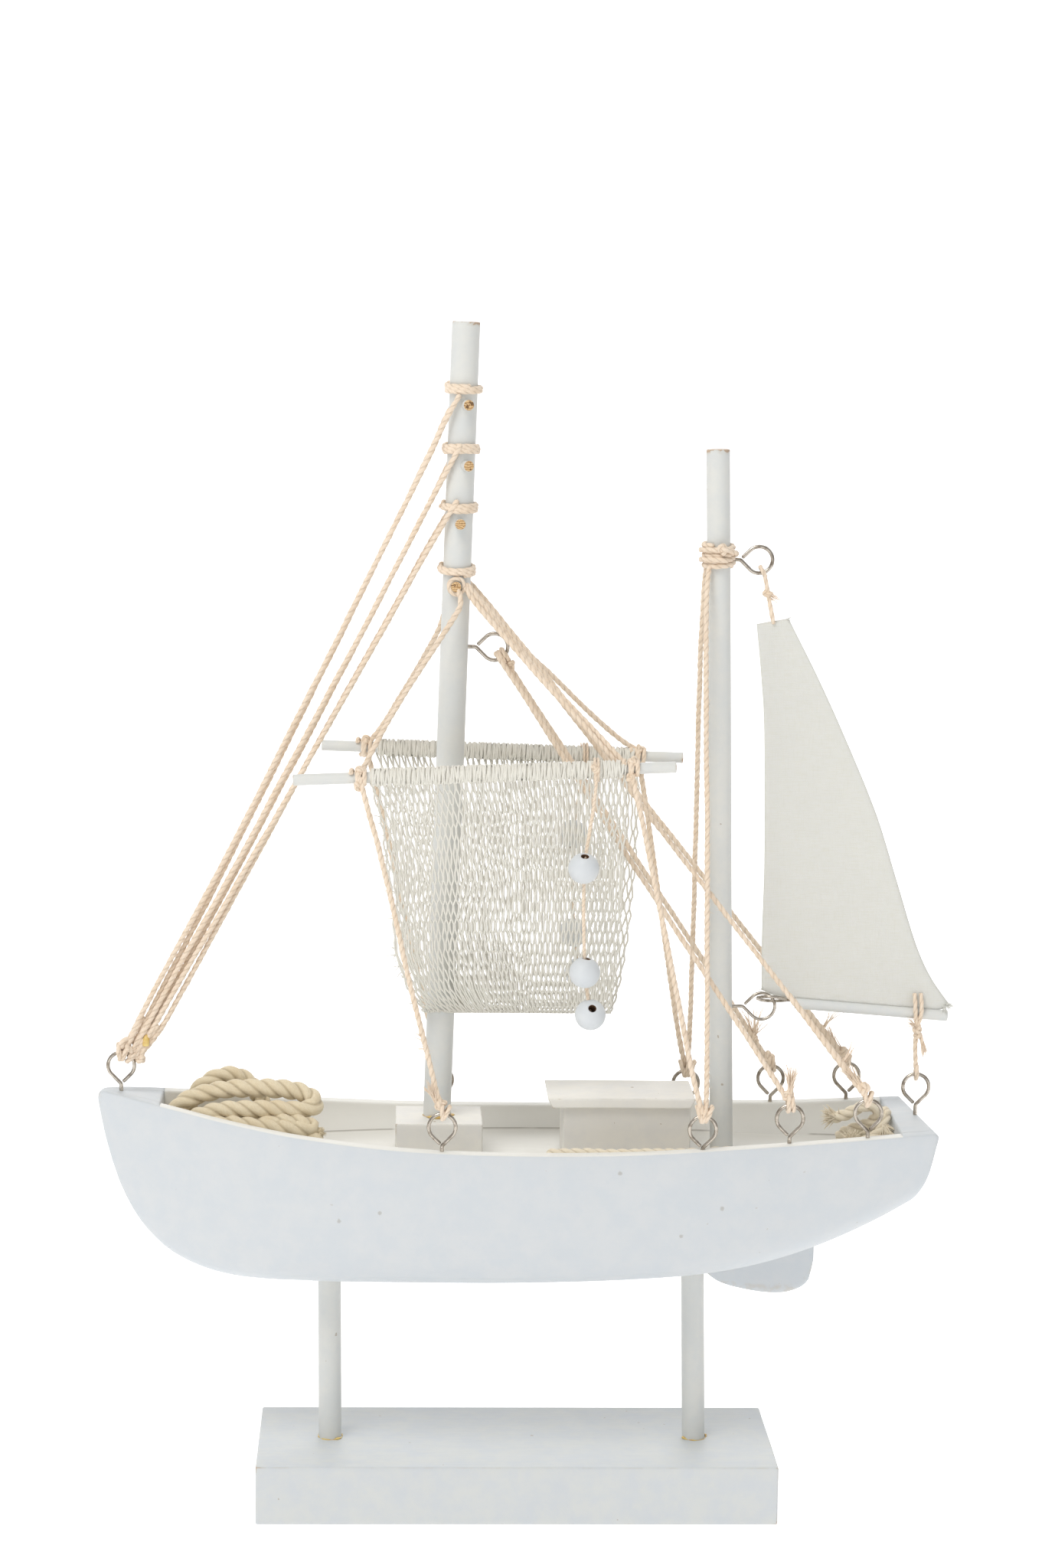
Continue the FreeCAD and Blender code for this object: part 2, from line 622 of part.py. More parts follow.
def floats(yard_name):
    """Three round wooden floats with the string's hole through each."""
    middles = float_points(yard_name)
    above = [V(FLOAT_LOOP_X, middles[0].y, yard_point(yard_name, FLOAT_LOOP_X).z), *middles]
    solids = []
    for before, middle, after in zip(above, middles, middles[1:] + [None]):
        ball = Part.makeSphere(FLOAT_DIAMETER / 2, middle)
        ball = ball.cut(rod(middle, middle + (before - middle).normalize() * FLOAT_DIAMETER, FLOAT_BORE))
        if after is not None:
            ball = ball.cut(rod(middle, middle + (after - middle).normalize() * FLOAT_DIAMETER, FLOAT_BORE))
        solids.append(ball.cut(Part.makeSphere(FLOAT_BORE / 2, middle)))
    return group(solids)


# ---- ropes and rigging -------------------------------------------------------------------------
def rope_hank():
    """Outer shape of the thick rope heaped in the bow of the well."""
    bed = DECK_Z + ROPE_PLAY
    heap = prism(HANK_PLAN, bed, HANK_HEIGHT)
    return heap.fuse(ellipsoid(*HANK_HUMP)).common(deck_cut()).cut(below(bed)).removeSplitter()


def below(z):
    size = 2 * HULL_LENGTH
    return Part.makeBox(size, size, size, V(-size / 2, -size / 2, z - size))


def rope_bundle():
    """Outer shape of the knotted rope ends in the stern of the well."""
    return ellipsoid(*BUNDLE_HUMP).cut(below(DECK_Z + ROPE_PLAY))


def deck_rope():
    """Outer shape of the rope folded back on itself beside the port rail."""
    plan = [(x, inset + RAIL_WIDTH - offset_at(x)[0]) for x, inset in DECK_ROPE_PLAN]
    return prism(plan, DECK_Z + ROPE_PLAY, DECK_ROPE_HEIGHT)


def lashing_middle(index):
    return mast_point("main", PEG_HEIGHTS[index] + LASHING_LIFT)


def mast_lashings():
    height = LASHING_TURNS * CORD_DIAMETER
    return group([mast_collar("main", lashing_middle(i).z, height, CORD_DIAMETER)
                  for i in range(len(PEG_HEIGHTS))])


def mizzen_lashing():
    collar = mast_collar("mizzen", MIZZEN_LASHING_Z, MIZZEN_LASHING_HEIGHT, MIZZEN_LASHING_THICKNESS)
    eye = mast_eye_place("mizzen", HEAD_EYE_Z, HEAD_EYE_RISE)
    return collar.cut(rod(eye["base"], eye["base"] + eye["up"] * EYE_RING, EYE_WIRE + 2 * GLUE_GAP))


# Hand-chosen ends of the tight lines, top first. The two strands of a doubled line share a node.
RIGGING = {
    "forestay_upper": (((-30.2, -1.15, 386.6), (-137.6, -1.15, 161.8)),
                       ((-30.2, 1.15, 386.6), (-137.6, 1.15, 161.8))),
    "forestay_middle": (((-30.7, -1.15, 366.2), (-134.4, -1.15, 161.4)),
                        ((-30.7, 1.15, 366.2), (-134.4, 1.15, 161.4))),
    "forestay_lower": (((-31.2, -1.15, 346.6), (-131.2, -1.15, 161.0)),
                       ((-31.2, 1.15, 346.6), (-131.2, 1.15, 161.0))),
    "sling_port_fore": (((-28.4, -4.6, 318.8), (-54.4, -31.2, 264.6)),),
    "sling_starboard_fore": (((-28.2, 4.8, 318.8), (-53.0, 31.4, 266.6)),),
    "sling_port_aft": (((-19.9, -4.6, 318.8), (33.0, -31.4, 268.6)),),
    "sling_starboard_aft": (((-19.7, 4.8, 318.8), (39.6, 31.6, 264.2)),),
    "backstay_port": (((-15.4, -2.6, 325.4), (116.6, -28.7, 152.2)),),
    "backstay_starboard": (((-15.4, 2.6, 325.4), (116.6, 28.7, 152.2)),),
    "quarter_stay_port": (((-5.2, -1.6, 293.0), (89.6, -30.0, 150.4)),),
    "quarter_stay_starboard": (((-5.2, 1.6, 293.0), (89.6, 30.0, 150.4)),),
    "guy_port_fore": (((-55.4, -35.2, 254.2), (-28.0, -35.4, 147.4)),),
    "guy_starboard_fore": (((-53.4, 35.2, 256.2), (-28.0, 35.4, 147.4)),),
    "guy_port_aft": (((35.6, -35.2, 258.0), (59.4, -35.1, 147.2)),),
    "guy_starboard_aft": (((42.6, 35.2, 253.6), (59.4, 35.1, 147.2)),),
    "mizzen_shroud_port": (((58.0, -4.6, 325.4), (62.4, -34.4, 148.2)),),
    "mizzen_shroud_starboard": (((58.0, 4.6, 325.4), (62.4, 34.4, 148.2)),),
    "head_tie": (((81.6, 0.0, 324.6), (83.0, 0.0, 318.2), (84.2, 0.0, 311.4)),),
    "boom_tie": (((138.6, 0.0, 171.0), (137.6, 0.0, 163.0), (138.4, 0.0, 154.4)),),
}


def rigging_line(name):
    return group([tube([V(*point) for point in strand], CORD_DIAMETER) for strand in RIGGING[name]])


def build():
    """Every node by name."""
    block = hull_block()
    nodes = {
        "stand_base": stand_base(),
        "stand_post_fore": stand_post("stand_post_fore"),
        "stand_post_aft": stand_post("stand_post_aft"),
        "hull_body": hull_body(block),
        "bulwark": bulwark(block),
        "skeg": skeg(block),
        "main_mast": main_mast(),
        "mizzen_mast": mizzen_mast(),
        "mast_step_block": mast_step_block(),
        "cabin_body": cabin_body(),
        "cabin_roof": cabin_roof(),
        "mast_pegs": group([peg(i) for i in range(len(PEG_HEIGHTS))]),
        "mast_lashings": mast_lashings(),
        "mizzen_lashing": mizzen_lashing(),
        "yard_port": yard("yard_port"),
        "yard_starboard": yard("yard_starboard"),
        "yard_knots": yard_knots(),
        "net": net(),
        "boom": boom(),
        "boom_screw_eye": boom_screw_eye(),
        "mizzen_sail": mizzen_sail(),
        "rope_hank": rope_hank(),
        "rope_bundle": rope_bundle(),
        "deck_rope": deck_rope(),
    }
    nodes.update(screw_eyes())
    for side in ("port", "starboard"):
        nodes["float_string_" + side] = float_string("yard_" + side)
        nodes["floats_" + side] = floats("yard_" + side)
    for name in RIGGING:
        nodes[name] = rigging_line(name)
    return nodes


os.makedirs("parts", exist_ok=True)
for node, solid in build().items():
    print(node, len(solid.Solids), "solids", round(solid.Volume, 1), "mm3", solid.isValid())
    solid.exportStep("parts/" + node + ".step")
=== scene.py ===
"""Looks of a decorative two-masted wooden fishing boat on a block stand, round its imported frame.

Sizes are millimetres; a mesh becomes metres when it is made. +Z is up, the bow points to -X and
port is -Y. Every new piece is a surface worked out with numpy: a function of two parameters on a
grid, or a profile carried along a path.
"""
from __future__ import annotations

import logging
import math
from collections.abc import Sequence
from dataclasses import dataclass
from enum import Enum

import bpy
import numpy as np
from mathutils import Matrix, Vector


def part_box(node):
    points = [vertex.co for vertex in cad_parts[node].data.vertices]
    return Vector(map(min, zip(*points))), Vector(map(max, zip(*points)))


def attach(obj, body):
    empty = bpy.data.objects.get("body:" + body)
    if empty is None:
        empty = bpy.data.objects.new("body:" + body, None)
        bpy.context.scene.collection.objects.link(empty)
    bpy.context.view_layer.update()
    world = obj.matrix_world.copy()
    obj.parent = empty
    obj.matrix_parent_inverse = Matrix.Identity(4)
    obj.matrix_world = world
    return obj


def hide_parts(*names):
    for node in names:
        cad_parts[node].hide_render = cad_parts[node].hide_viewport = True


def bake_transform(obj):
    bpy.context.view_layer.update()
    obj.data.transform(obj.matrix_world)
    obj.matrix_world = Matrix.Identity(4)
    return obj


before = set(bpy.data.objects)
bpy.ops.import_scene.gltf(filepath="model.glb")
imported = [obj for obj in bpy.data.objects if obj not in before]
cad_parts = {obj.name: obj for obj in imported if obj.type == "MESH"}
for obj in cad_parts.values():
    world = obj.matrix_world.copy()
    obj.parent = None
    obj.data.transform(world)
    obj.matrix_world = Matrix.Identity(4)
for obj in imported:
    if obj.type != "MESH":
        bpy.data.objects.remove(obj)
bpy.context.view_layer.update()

Array = np.ndarray
Point = tuple[float, float, float]
MM = 0.001
LOG = logging.getLogger("boat")


# ---- plain numpy geometry ----------------------------------------------------------------------
def unit(vectors: Array) -> Array:
    """Vectors over their lengths, along the last axis."""
    return vectors / np.maximum(np.linalg.norm(vectors, axis=-1, keepdims=True), 1e-12)


def grid_faces(rows: int, columns: int, loop_rows: bool = False, loop_columns: bool = True) -> Array:
    """Quads of a grid whose point (i, j) has number i * columns + j.

    Args:
        rows: How many rows the grid has.
        columns: How many points a row has.
        loop_rows: Whether the last row joins the first.
        loop_columns: Whether the last column joins the first.

    Returns:
        An array of four point numbers a face.
    """
    i = np.arange(rows if loop_rows else rows - 1)[:, None]
    j = np.arange(columns if loop_columns else columns - 1)[None, :]
    down, right = (i + 1) % rows, (j + 1) % columns
    corners = [i * columns + j, i * columns + right, down * columns + right, down * columns + j]
    return np.stack(np.broadcast_arrays(*corners), -1).reshape(-1, 4)


def hermite(stations: Array, values: Array, x: Array) -> Array:
    """Cubic through the values with central-difference slopes: h00 p + h10 m + h01 q + h11 n."""
    stations, values, x = np.asarray(stations), np.asarray(values), np.asarray(x, float)
    last = len(stations) - 1
    low, high = np.maximum(np.arange(last + 1) - 1, 0), np.minimum(np.arange(last + 1) + 1, last)
    slope = (values[high] - values[low]) / (stations[high] - stations[low])
    i = np.clip(np.searchsorted(stations[1:], x), 0, last - 1)
    span = stations[i + 1] - stations[i]
    t = (x - stations[i]) / span
    return ((2 * t**3 - 3 * t**2 + 1) * values[i] + (t**3 - 2 * t**2 + t) * slope[i] * span
            + (3 * t**2 - 2 * t**3) * values[i + 1] + (t**3 - t**2) * slope[i + 1] * span)


def bspline(control: Sequence[Sequence[float]], steps: int = 10) -> Array:
    """Quadratic B-spline clamped at its ends: (1-t)^2 a + 2t(1-t) c + t^2 b on each span."""
    c = np.asarray(control, float)
    middle = (c[1:-2] + c[2:-1]) / 2
    a, b = np.vstack([c[:1], middle]), np.vstack([middle, c[-1:]])
    t = (np.arange(steps) / steps)[None, :, None]
    spans = (1 - t)**2 * a[:, None] + 2 * t * (1 - t) * c[1:-1, None] + t**2 * b[:, None]
    return np.vstack([spans.reshape(-1, c.shape[1]), c[-1:]])


def run_lengths(path: Array) -> Array:
    """Distance along a path at each of its points."""
    steps = np.linalg.norm(np.diff(path, axis=0), axis=1)
    return np.concatenate([[0.0], np.cumsum(steps)])


def resample(path: Array, spacing: float) -> Array:
    """The same path with its points evenly spaced."""
    s = run_lengths(path)
    even = np.linspace(0, s[-1], max(3, int(round(s[-1] / spacing)) + 1))
    return np.stack([np.interp(even, s, path[:, k]) for k in range(path.shape[1])], 1)


def nurbs_line(points: Sequence[Point], spacing: float) -> Array:
    """Points read from a cord's own spline, which its route's points control.

    Args:
        points: The route, in millimetres.
        spacing: Distance between the points returned.

    Returns:
        Evenly spaced points along the smooth line.
    """
    curve = bpy.data.curves.new("route", "CURVE")
    curve.dimensions = "3D"
    curve.resolution_u = 16
    spline = curve.splines.new("NURBS")
    spline.points.add(len(points) - 1)
    spline.points.foreach_set("co", np.column_stack([np.array(points, float), np.ones(len(points))]).ravel())
    spline.order_u = 3
    spline.use_endpoint_u = True
    holder = bpy.data.objects.new("route", curve)
    mesh = bpy.data.meshes.new_from_object(holder)
    line = np.zeros(len(mesh.vertices) * 3)
    mesh.vertices.foreach_get("co", line)
    bpy.data.meshes.remove(mesh)
    bpy.data.objects.remove(holder)
    bpy.data.curves.remove(curve)
    return resample(line.reshape(-1, 3), spacing)


def cross_axes(path: Array, loop: bool = False) -> tuple[Array, Array, Array]:
    """Tangent, normal and binormal at each point, from the reference that stays least parallel.

    The tangent is the central difference, the normal is the reference less its share along the
    tangent, and the binormal is tangent x normal.
    """
    if loop:
        tangent = unit(np.roll(path, -1, 0) - np.roll(path, 1, 0))
    else:
        tangent = unit(np.gradient(path, axis=0))
    tries = unit(np.array([[0.1, 1, 0.2], [1, 0.15, 0.1], [0.1, 0.2, 1], [1, 1, 0.3], [1, -1, 0.4],
                           [0.3, 1, -1.1], [-0.9, 0.4, 1.0]], float))
    worst = np.linalg.norm(np.cross(tangent[:, None], tries[None]), axis=2).min(0)
    reference = tries[int(np.argmax(worst))]
    normal = unit(reference - (tangent @ reference)[:, None] * tangent)
    return tangent, normal, np.cross(tangent, normal)


class Part:
    """Points, faces and marks of one closed surface, as whole arrays."""

    def __init__(self, points: Array, faces: list[Array], smooth: bool = True, **marks: Array) -> None:
        """Keeps the arrays; faces is a list of arrays, one for each number of corners."""
        self.points = points
        self.faces = faces
        self.smooth = smooth
        self.slots = [0] * len(faces)
        self.marks = marks

    def moved(self, matrix: Array, shift: Sequence[float] = (0, 0, 0)) -> Part:
        """The same part with its points turned by matrix and then shifted."""
        self.points = self.points @ np.asarray(matrix, float).T + np.asarray(shift, float)
        return self


def sweep(path: Array, radius: float | Array, sides: int = 10, lobes: int = 0, depth: float = 0.0,
          lay: float = 6.0, loop: bool = False, blunt: bool = True, start: float = 0.0) -> Part:
    """A section carried along a path, round or lobed like a laid cord.

    At angle a and distance s the section's radius is R (1 - depth (1 - |cos(lobes a / 2 - pi s / lay)|)),
    so the grooves between strands turn once round the cord in lobes times the lay.

    Args:
        path: Centres of the rings, in millimetres.
        radius: Outer radius, one for all or one a ring.
        sides: Points round a ring.
        lobes: Number of strands, 0 for a round section.
        depth: Share of the radius that a groove takes away.
        lay: Distance along the cord from one strand to the next.
        loop: Whether the path closes on itself.
        blunt: Whether open ends are rounded over.
        start: Distance at the first ring, which turns the pattern.

    Returns:
        The closed surface, with mark "flow" and a groove mark that the yarn turns into painted shade.
    """
    radius = np.broadcast_to(np.asarray(radius, float), (len(path),)).copy()
    if not loop and blunt:
        turn = np.radians([35.0, 62.0, 82.0])
        ahead, behind = unit(path[0] - path[1]), unit(path[-1] - path[-2])
        nose = path[0] + ahead * (radius[0] * 0.7 * np.sin(turn[::-1]))[:, None]
        tail = path[-1] + behind * (radius[-1] * 0.7 * np.sin(turn))[:, None]
        path = np.vstack([nose, path, tail])
        radius = np.concatenate([radius[0] * np.cos(turn[::-1]), radius, radius[-1] * np.cos(turn)])
    _, normal, binormal = cross_axes(path, loop)
    s = run_lengths(path) + start
    angle = 2 * math.pi * np.arange(sides) / sides
    groove = 1 - np.abs(np.cos(lobes * angle[None] / 2 - math.pi * s[:, None] / lay)) if lobes else \
        np.zeros((len(path), sides))
    reach = radius[:, None] * (1 - depth * groove)
    around = (np.cos(angle)[None, :, None] * normal[:, None]
              + np.sin(angle)[None, :, None] * binormal[:, None])
    points = (path[:, None] + reach[..., None] * around).reshape(-1, 3)
    faces = [grid_faces(len(path), sides, loop)]
    if not loop:
        ends = np.arange(sides)
        faces.append(np.stack([ends[::-1], ends + (len(path) - 1) * sides]))
    lay_angle = angle[None] - 2 * math.pi * s[:, None] / (lay * max(lobes, 1))
    flow = np.stack(np.broadcast_arrays(s[:, None] * 0.25, radius[:, None] * np.cos(lay_angle),
                                        radius[:, None] * np.sin(lay_angle)), -1).reshape(-1, 3)
    return Part(points, faces, crease=(groove**2).ravel(), flow=flow)


def turned(profile: Array, start: Array, end: Array, sides: int, wear: Array | None = None,
           raw_rows: int = 0) -> Part:
    """A round piece: a profile of (distance, radius) rows spun about the axis from start to end.

    Args:
        profile: Rows of distance along the axis and radius there, both ends small.
        start: Where the axis begins.
        end: A point further along the axis.
        sides: Points round a ring.
        wear: How worn each row is, from 0 to 1.
        raw_rows: How many rows at each end take the second finish, with the end faces.

    Returns:
        The closed surface.
    """
    axis = unit(np.asarray(end, float) - start)
    side = unit(np.cross([0.02, 0.999, 0.03] if abs(axis[1]) < 0.9 else [0, 0, 1], axis))
    other = np.cross(axis, side)
    angle = 2 * math.pi * np.arange(sides) / sides
    ring = np.cos(angle)[:, None] * side + np.sin(angle)[:, None] * other
    points = (np.asarray(start) + profile[:, :1, None].reshape(-1, 1, 1) * axis
              + profile[:, 1].reshape(-1, 1, 1) * ring[None]).reshape(-1, 3)
    quads, rows = grid_faces(len(profile), sides), len(profile)
    ends = np.arange(sides)
    caps = np.stack([ends[::-1], ends + (rows - 1) * sides])
    worn = np.zeros(rows) if wear is None else wear
    row_of = quads[:, 0] // sides
    raw = (row_of < raw_rows) | (row_of >= rows - 1 - raw_rows)
    part = Part(points, [quads[~raw], quads[raw], caps], wear=np.repeat(worn, sides))
    part.slots = [0, 1, 1] if raw_rows else [0, 0, 0]
    return part


def dowel_profile(length: float, radius: float, edge: float, spacing: float = 6.0) -> tuple[Array, Array]:
    """Profile of a dowel with eased ends, and how worn each row is.

    An eased end is a quarter circle: distance edge (1 - cos t), radius less edge (1 - sin t).
    """
    t = np.radians([0.0, 30.0, 60.0, 90.0])
    along = np.concatenate([[0.0], edge * (1 - np.cos(t))])
    across = np.concatenate([[radius * 0.4], radius - edge * (1 - np.sin(t))])
    near = np.array([0.5, 1.2, 2.2, 3.5]) + edge
    body = np.linspace(near[-1], length - near[-1], max(2, int(length / spacing)))
    middle = np.concatenate([near, body[1:-1], length - near[::-1]])
    distance = np.concatenate([along, middle, length - along[::-1]])
    rows = np.stack([distance, np.concatenate([across, np.full(len(middle), radius), across[::-1]])], 1)
    worn = np.exp(-np.minimum(distance, length - distance) / 0.9)
    return rows, worn


def rounded_block(size: Sequence[float], centre: Sequence[float], edge: float, spacing: float) -> Part:
    """A block with every edge rounded: each point of a box is clamped to the inner box, and the
    rest of its distance is laid off along its own direction to the radius of the edge.

    Args:
        size: Length, width and height.
        centre: Middle of the block.
        edge: Radius of the edges.
        spacing: Largest distance between points on the flats.

    Returns:
        The closed surface, with mark "wear" high at its edges and corners.
    """
    half = np.asarray(size, float) / 2
    curl = edge * np.array([0.0, 0.35, 0.7])

    def ticks(h: float) -> Array:
        flat = np.linspace(-h + edge, h - edge, max(3, int(2 * h / spacing)))
        inner = np.array([0.6, 1.4])
        flat = np.unique(np.concatenate([flat, -h + edge + inner, h - edge - inner]))
        return np.concatenate([-h + curl, flat, h - curl[::-1]])

    points, faces, count = [], [], 0
    for axis in range(3):
        u, v = (axis + 1) % 3, (axis + 2) % 3
        for sign in (-1.0, 1.0):
            a, b = np.meshgrid(ticks(half[u]), ticks(half[v]), indexing="ij")
            face = np.zeros((a.size, 3))
            face[:, axis], face[:, u], face[:, v] = sign * half[axis], a.ravel(), b.ravel()
            quads = grid_faces(*a.shape, loop_columns=False) + count
            faces.append(quads[:, ::-1] if sign > 0 else quads)
            points.append(face)
            count += a.size
    box = np.vstack(points)
    _, first, merged = np.unique(np.round(box, 6), axis=0, return_index=True, return_inverse=True)
    box, quads = box[first], merged.ravel()[np.vstack(faces)]
    inner = np.clip(box, -(half - edge), half - edge)
    away = box - inner
    sorted_gap = np.sort(half - np.abs(box), axis=1)
    wear = np.exp(-sorted_gap[:, 1] / 0.5) * (0.45 + 0.55 * np.exp(-sorted_gap[:, 2] / 3.0))
    return Part(inner + unit(away) * edge + np.asarray(centre), [quads[:, ::-1]], wear=wear)


def ball_noise(points: Array, scale: float, seed: int) -> Array:
    """Smooth noise from -1 to 1: the mean of eight sine waves in fixed random directions."""
    random = np.random.default_rng(seed)
    waves = random.normal(size=(8, 3)) / scale
    phase = random.uniform(0, 2 * math.pi, 8)
    return np.sin(points @ waves.T + phase).mean(1)


class Piece:
    """One named piece: its parts gathered, then made one Blender mesh with its finishes."""

    def __init__(self, name: str, *parts: Part) -> None:
        """Starts the piece with the parts given."""
        self.name = name
        self.parts = list(parts)

    def add(self, part: Part) -> Piece:
        """Adds one more part."""
        self.parts.append(part)
        return self

    def make(self, finishes: Sequence[Finish], body: str, slot: str, *nodes: str) -> bpy.types.Object:
        """Makes the mesh, gives it its finishes and lets it ride on its body.

        Args:
            finishes: One for each slot number that the parts use.
            body: Name of the body that the piece moves with, empty for one that rides on no body.
            slot: The record's material slot; not used.
            *nodes: CAD nodes that the piece stands for.

        Returns:
            The Blender object.
        """
        shift, faces, slots, smooth = 0, [], [], []
        for part in self.parts:
            for block, number in zip(part.faces, part.slots):
                faces += (block + shift).tolist()
                slots += [number] * len(block)
                smooth += [part.smooth] * len(block)
            shift += len(part.points)
        mesh = bpy.data.meshes.new(self.name)
        mesh.from_pydata((np.vstack([part.points for part in self.parts]) * MM).tolist(), [], faces)
        mesh.polygons.foreach_set("material_index", slots)
        mesh.polygons.foreach_set("use_smooth", smooth)
        for mark in sorted({name for part in self.parts for name in part.marks}):
            wide = mark == "flow"
            blank = (3,) if wide else ()
            values = [part.marks.get(mark, np.zeros((len(part.points), *blank))) for part in self.parts]
            layer = mesh.attributes.new(mark, "FLOAT_VECTOR" if wide else "FLOAT", "POINT")
            layer.data.foreach_set("vector" if wide else "value",
                                   np.concatenate(values).astype(np.float32).ravel())
        for finish in finishes:
            mesh.materials.append(finish.material())
        mesh.update()
        thing = bpy.data.objects.new(self.name, mesh)
        bpy.context.scene.collection.objects.link(thing)
        if body:
            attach(thing, body)
        if nodes:
            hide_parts(*nodes)
        LOG.info("%s: %d points, %d faces", self.name, len(mesh.vertices), len(mesh.polygons))
        return thing


# ---- finishes ----------------------------------------------------------------------------------
class Tree:
    """The shader nodes of one material, added and linked by short calls."""

    def __init__(self, name: str) -> None:
        """Makes an empty material with its output node."""
        self.material = bpy.data.materials.new(name)
        self.material.use_nodes = True
        self.nodes, self.links = self.material.node_tree.nodes, self.material.node_tree.links
        self.nodes.clear()
        self.output = self.nodes.new("ShaderNodeOutputMaterial")

    def add(self, kind: str, sockets: dict | None = None, **settings: object) -> bpy.types.Node:
        """Adds a node; a socket's value is a number, a colour or another node's output."""
        node = self.nodes.new("ShaderNode" + kind)
        for key, value in settings.items():
            setattr(node, key, value)
        for key, value in (sockets or {}).items():
            if isinstance(value, bpy.types.NodeSocket):
                self.links.new(value, node.inputs[key])
            else:
                node.inputs[key].default_value = value
        return node

    def place(self, stretch: Point = (1, 1, 1), turn: Point = (0, 0, 0)) -> bpy.types.NodeSocket:
        """Object coordinates in metres, scaled and turned."""
        base = self.add("TexCoord").outputs["Object"]
        return self.add("Mapping", {"Vector": base, "Scale": stretch, "Rotation": turn}).outputs[0]

    def mark(self, name: str, output: str = "Fac") -> bpy.types.NodeSocket:
        """A mark that the piece's points carry."""
        return self.add("Attribute", attribute_name=name).outputs[output]

    def noise(self, vector: bpy.types.NodeSocket, scale: float, detail: float = 3.0,
              rough: float = 0.55) -> bpy.types.NodeSocket:
        """Noise from about 0.2 to 0.8."""
        return self.add("TexNoise", {"Vector": vector, "Scale": scale, "Detail": detail,
                                     "Roughness": rough}).outputs["Fac"]

    def math(self, operation: str, a: object, b: object = 0.0) -> bpy.types.NodeSocket:
        """One sum on one or two values."""
        return self.add("Math", {0: a, 1: b}, operation=operation).outputs[0]

    def span(self, value: object, low: float, high: float, out_low: float = 0.0,
             out_high: float = 1.0) -> bpy.types.NodeSocket:
        """A value's stretch from low to high taken smoothly to out_low and out_high."""
        return self.add("MapRange", {0: value, 1: low, 2: high, 3: out_low, 4: out_high},
                        interpolation_type="SMOOTHSTEP").outputs[0]

    def mix(self, share: object, a: object, b: object, blend: str = "MIX") -> bpy.types.NodeSocket:
        """Two colours mixed by a share."""
        node = self.add("Mix", {0: share, 6: a, 7: b}, data_type="RGBA", blend_type=blend)
        return node.outputs[2]

    def bump(self, height: bpy.types.NodeSocket, distance: float, strength: float,
             under: bpy.types.NodeSocket | None = None) -> bpy.types.NodeSocket:
        """A bump of so many metres on top of another."""
        sockets = {"Height": height, "Distance": distance, "Strength": strength}
        if under is not None:
            sockets["Normal"] = under
        return self.add("Bump", sockets).outputs[0]

    def shade(self, **sockets: object) -> bpy.types.Material:
        """The principled shader with its sockets, linked to the output."""
        named = {key.replace("_", " "): value for key, value in sockets.items()}
        shader = self.add("BsdfPrincipled", named)
        self.links.new(shader.outputs[0], self.output.inputs[0])
        return self.material


def colour(red: float, green: float, blue: float) -> tuple[float, float, float, float]:
    """A display colour of 0 to 255 a channel as the linear one that shaders take."""
    share = np.array([red, green, blue]) / 255
    linear = np.where(share <= 0.04045, share / 12.92, ((share + 0.055) / 1.055)**2.4)
    return (*(float(v) for v in linear), 1.0)


class Finish:
    """A finish makes its material once and then hands out the same one."""

    made: dict[str, bpy.types.Material] = {}

    def material(self) -> bpy.types.Material:
        """The finish's material."""
        key = repr(self)
        if key not in Finish.made:
            Finish.made[key] = self.build()
        return Finish.made[key]

    def build(self) -> bpy.types.Material:
        """Makes the material."""
        raise NotImplementedError


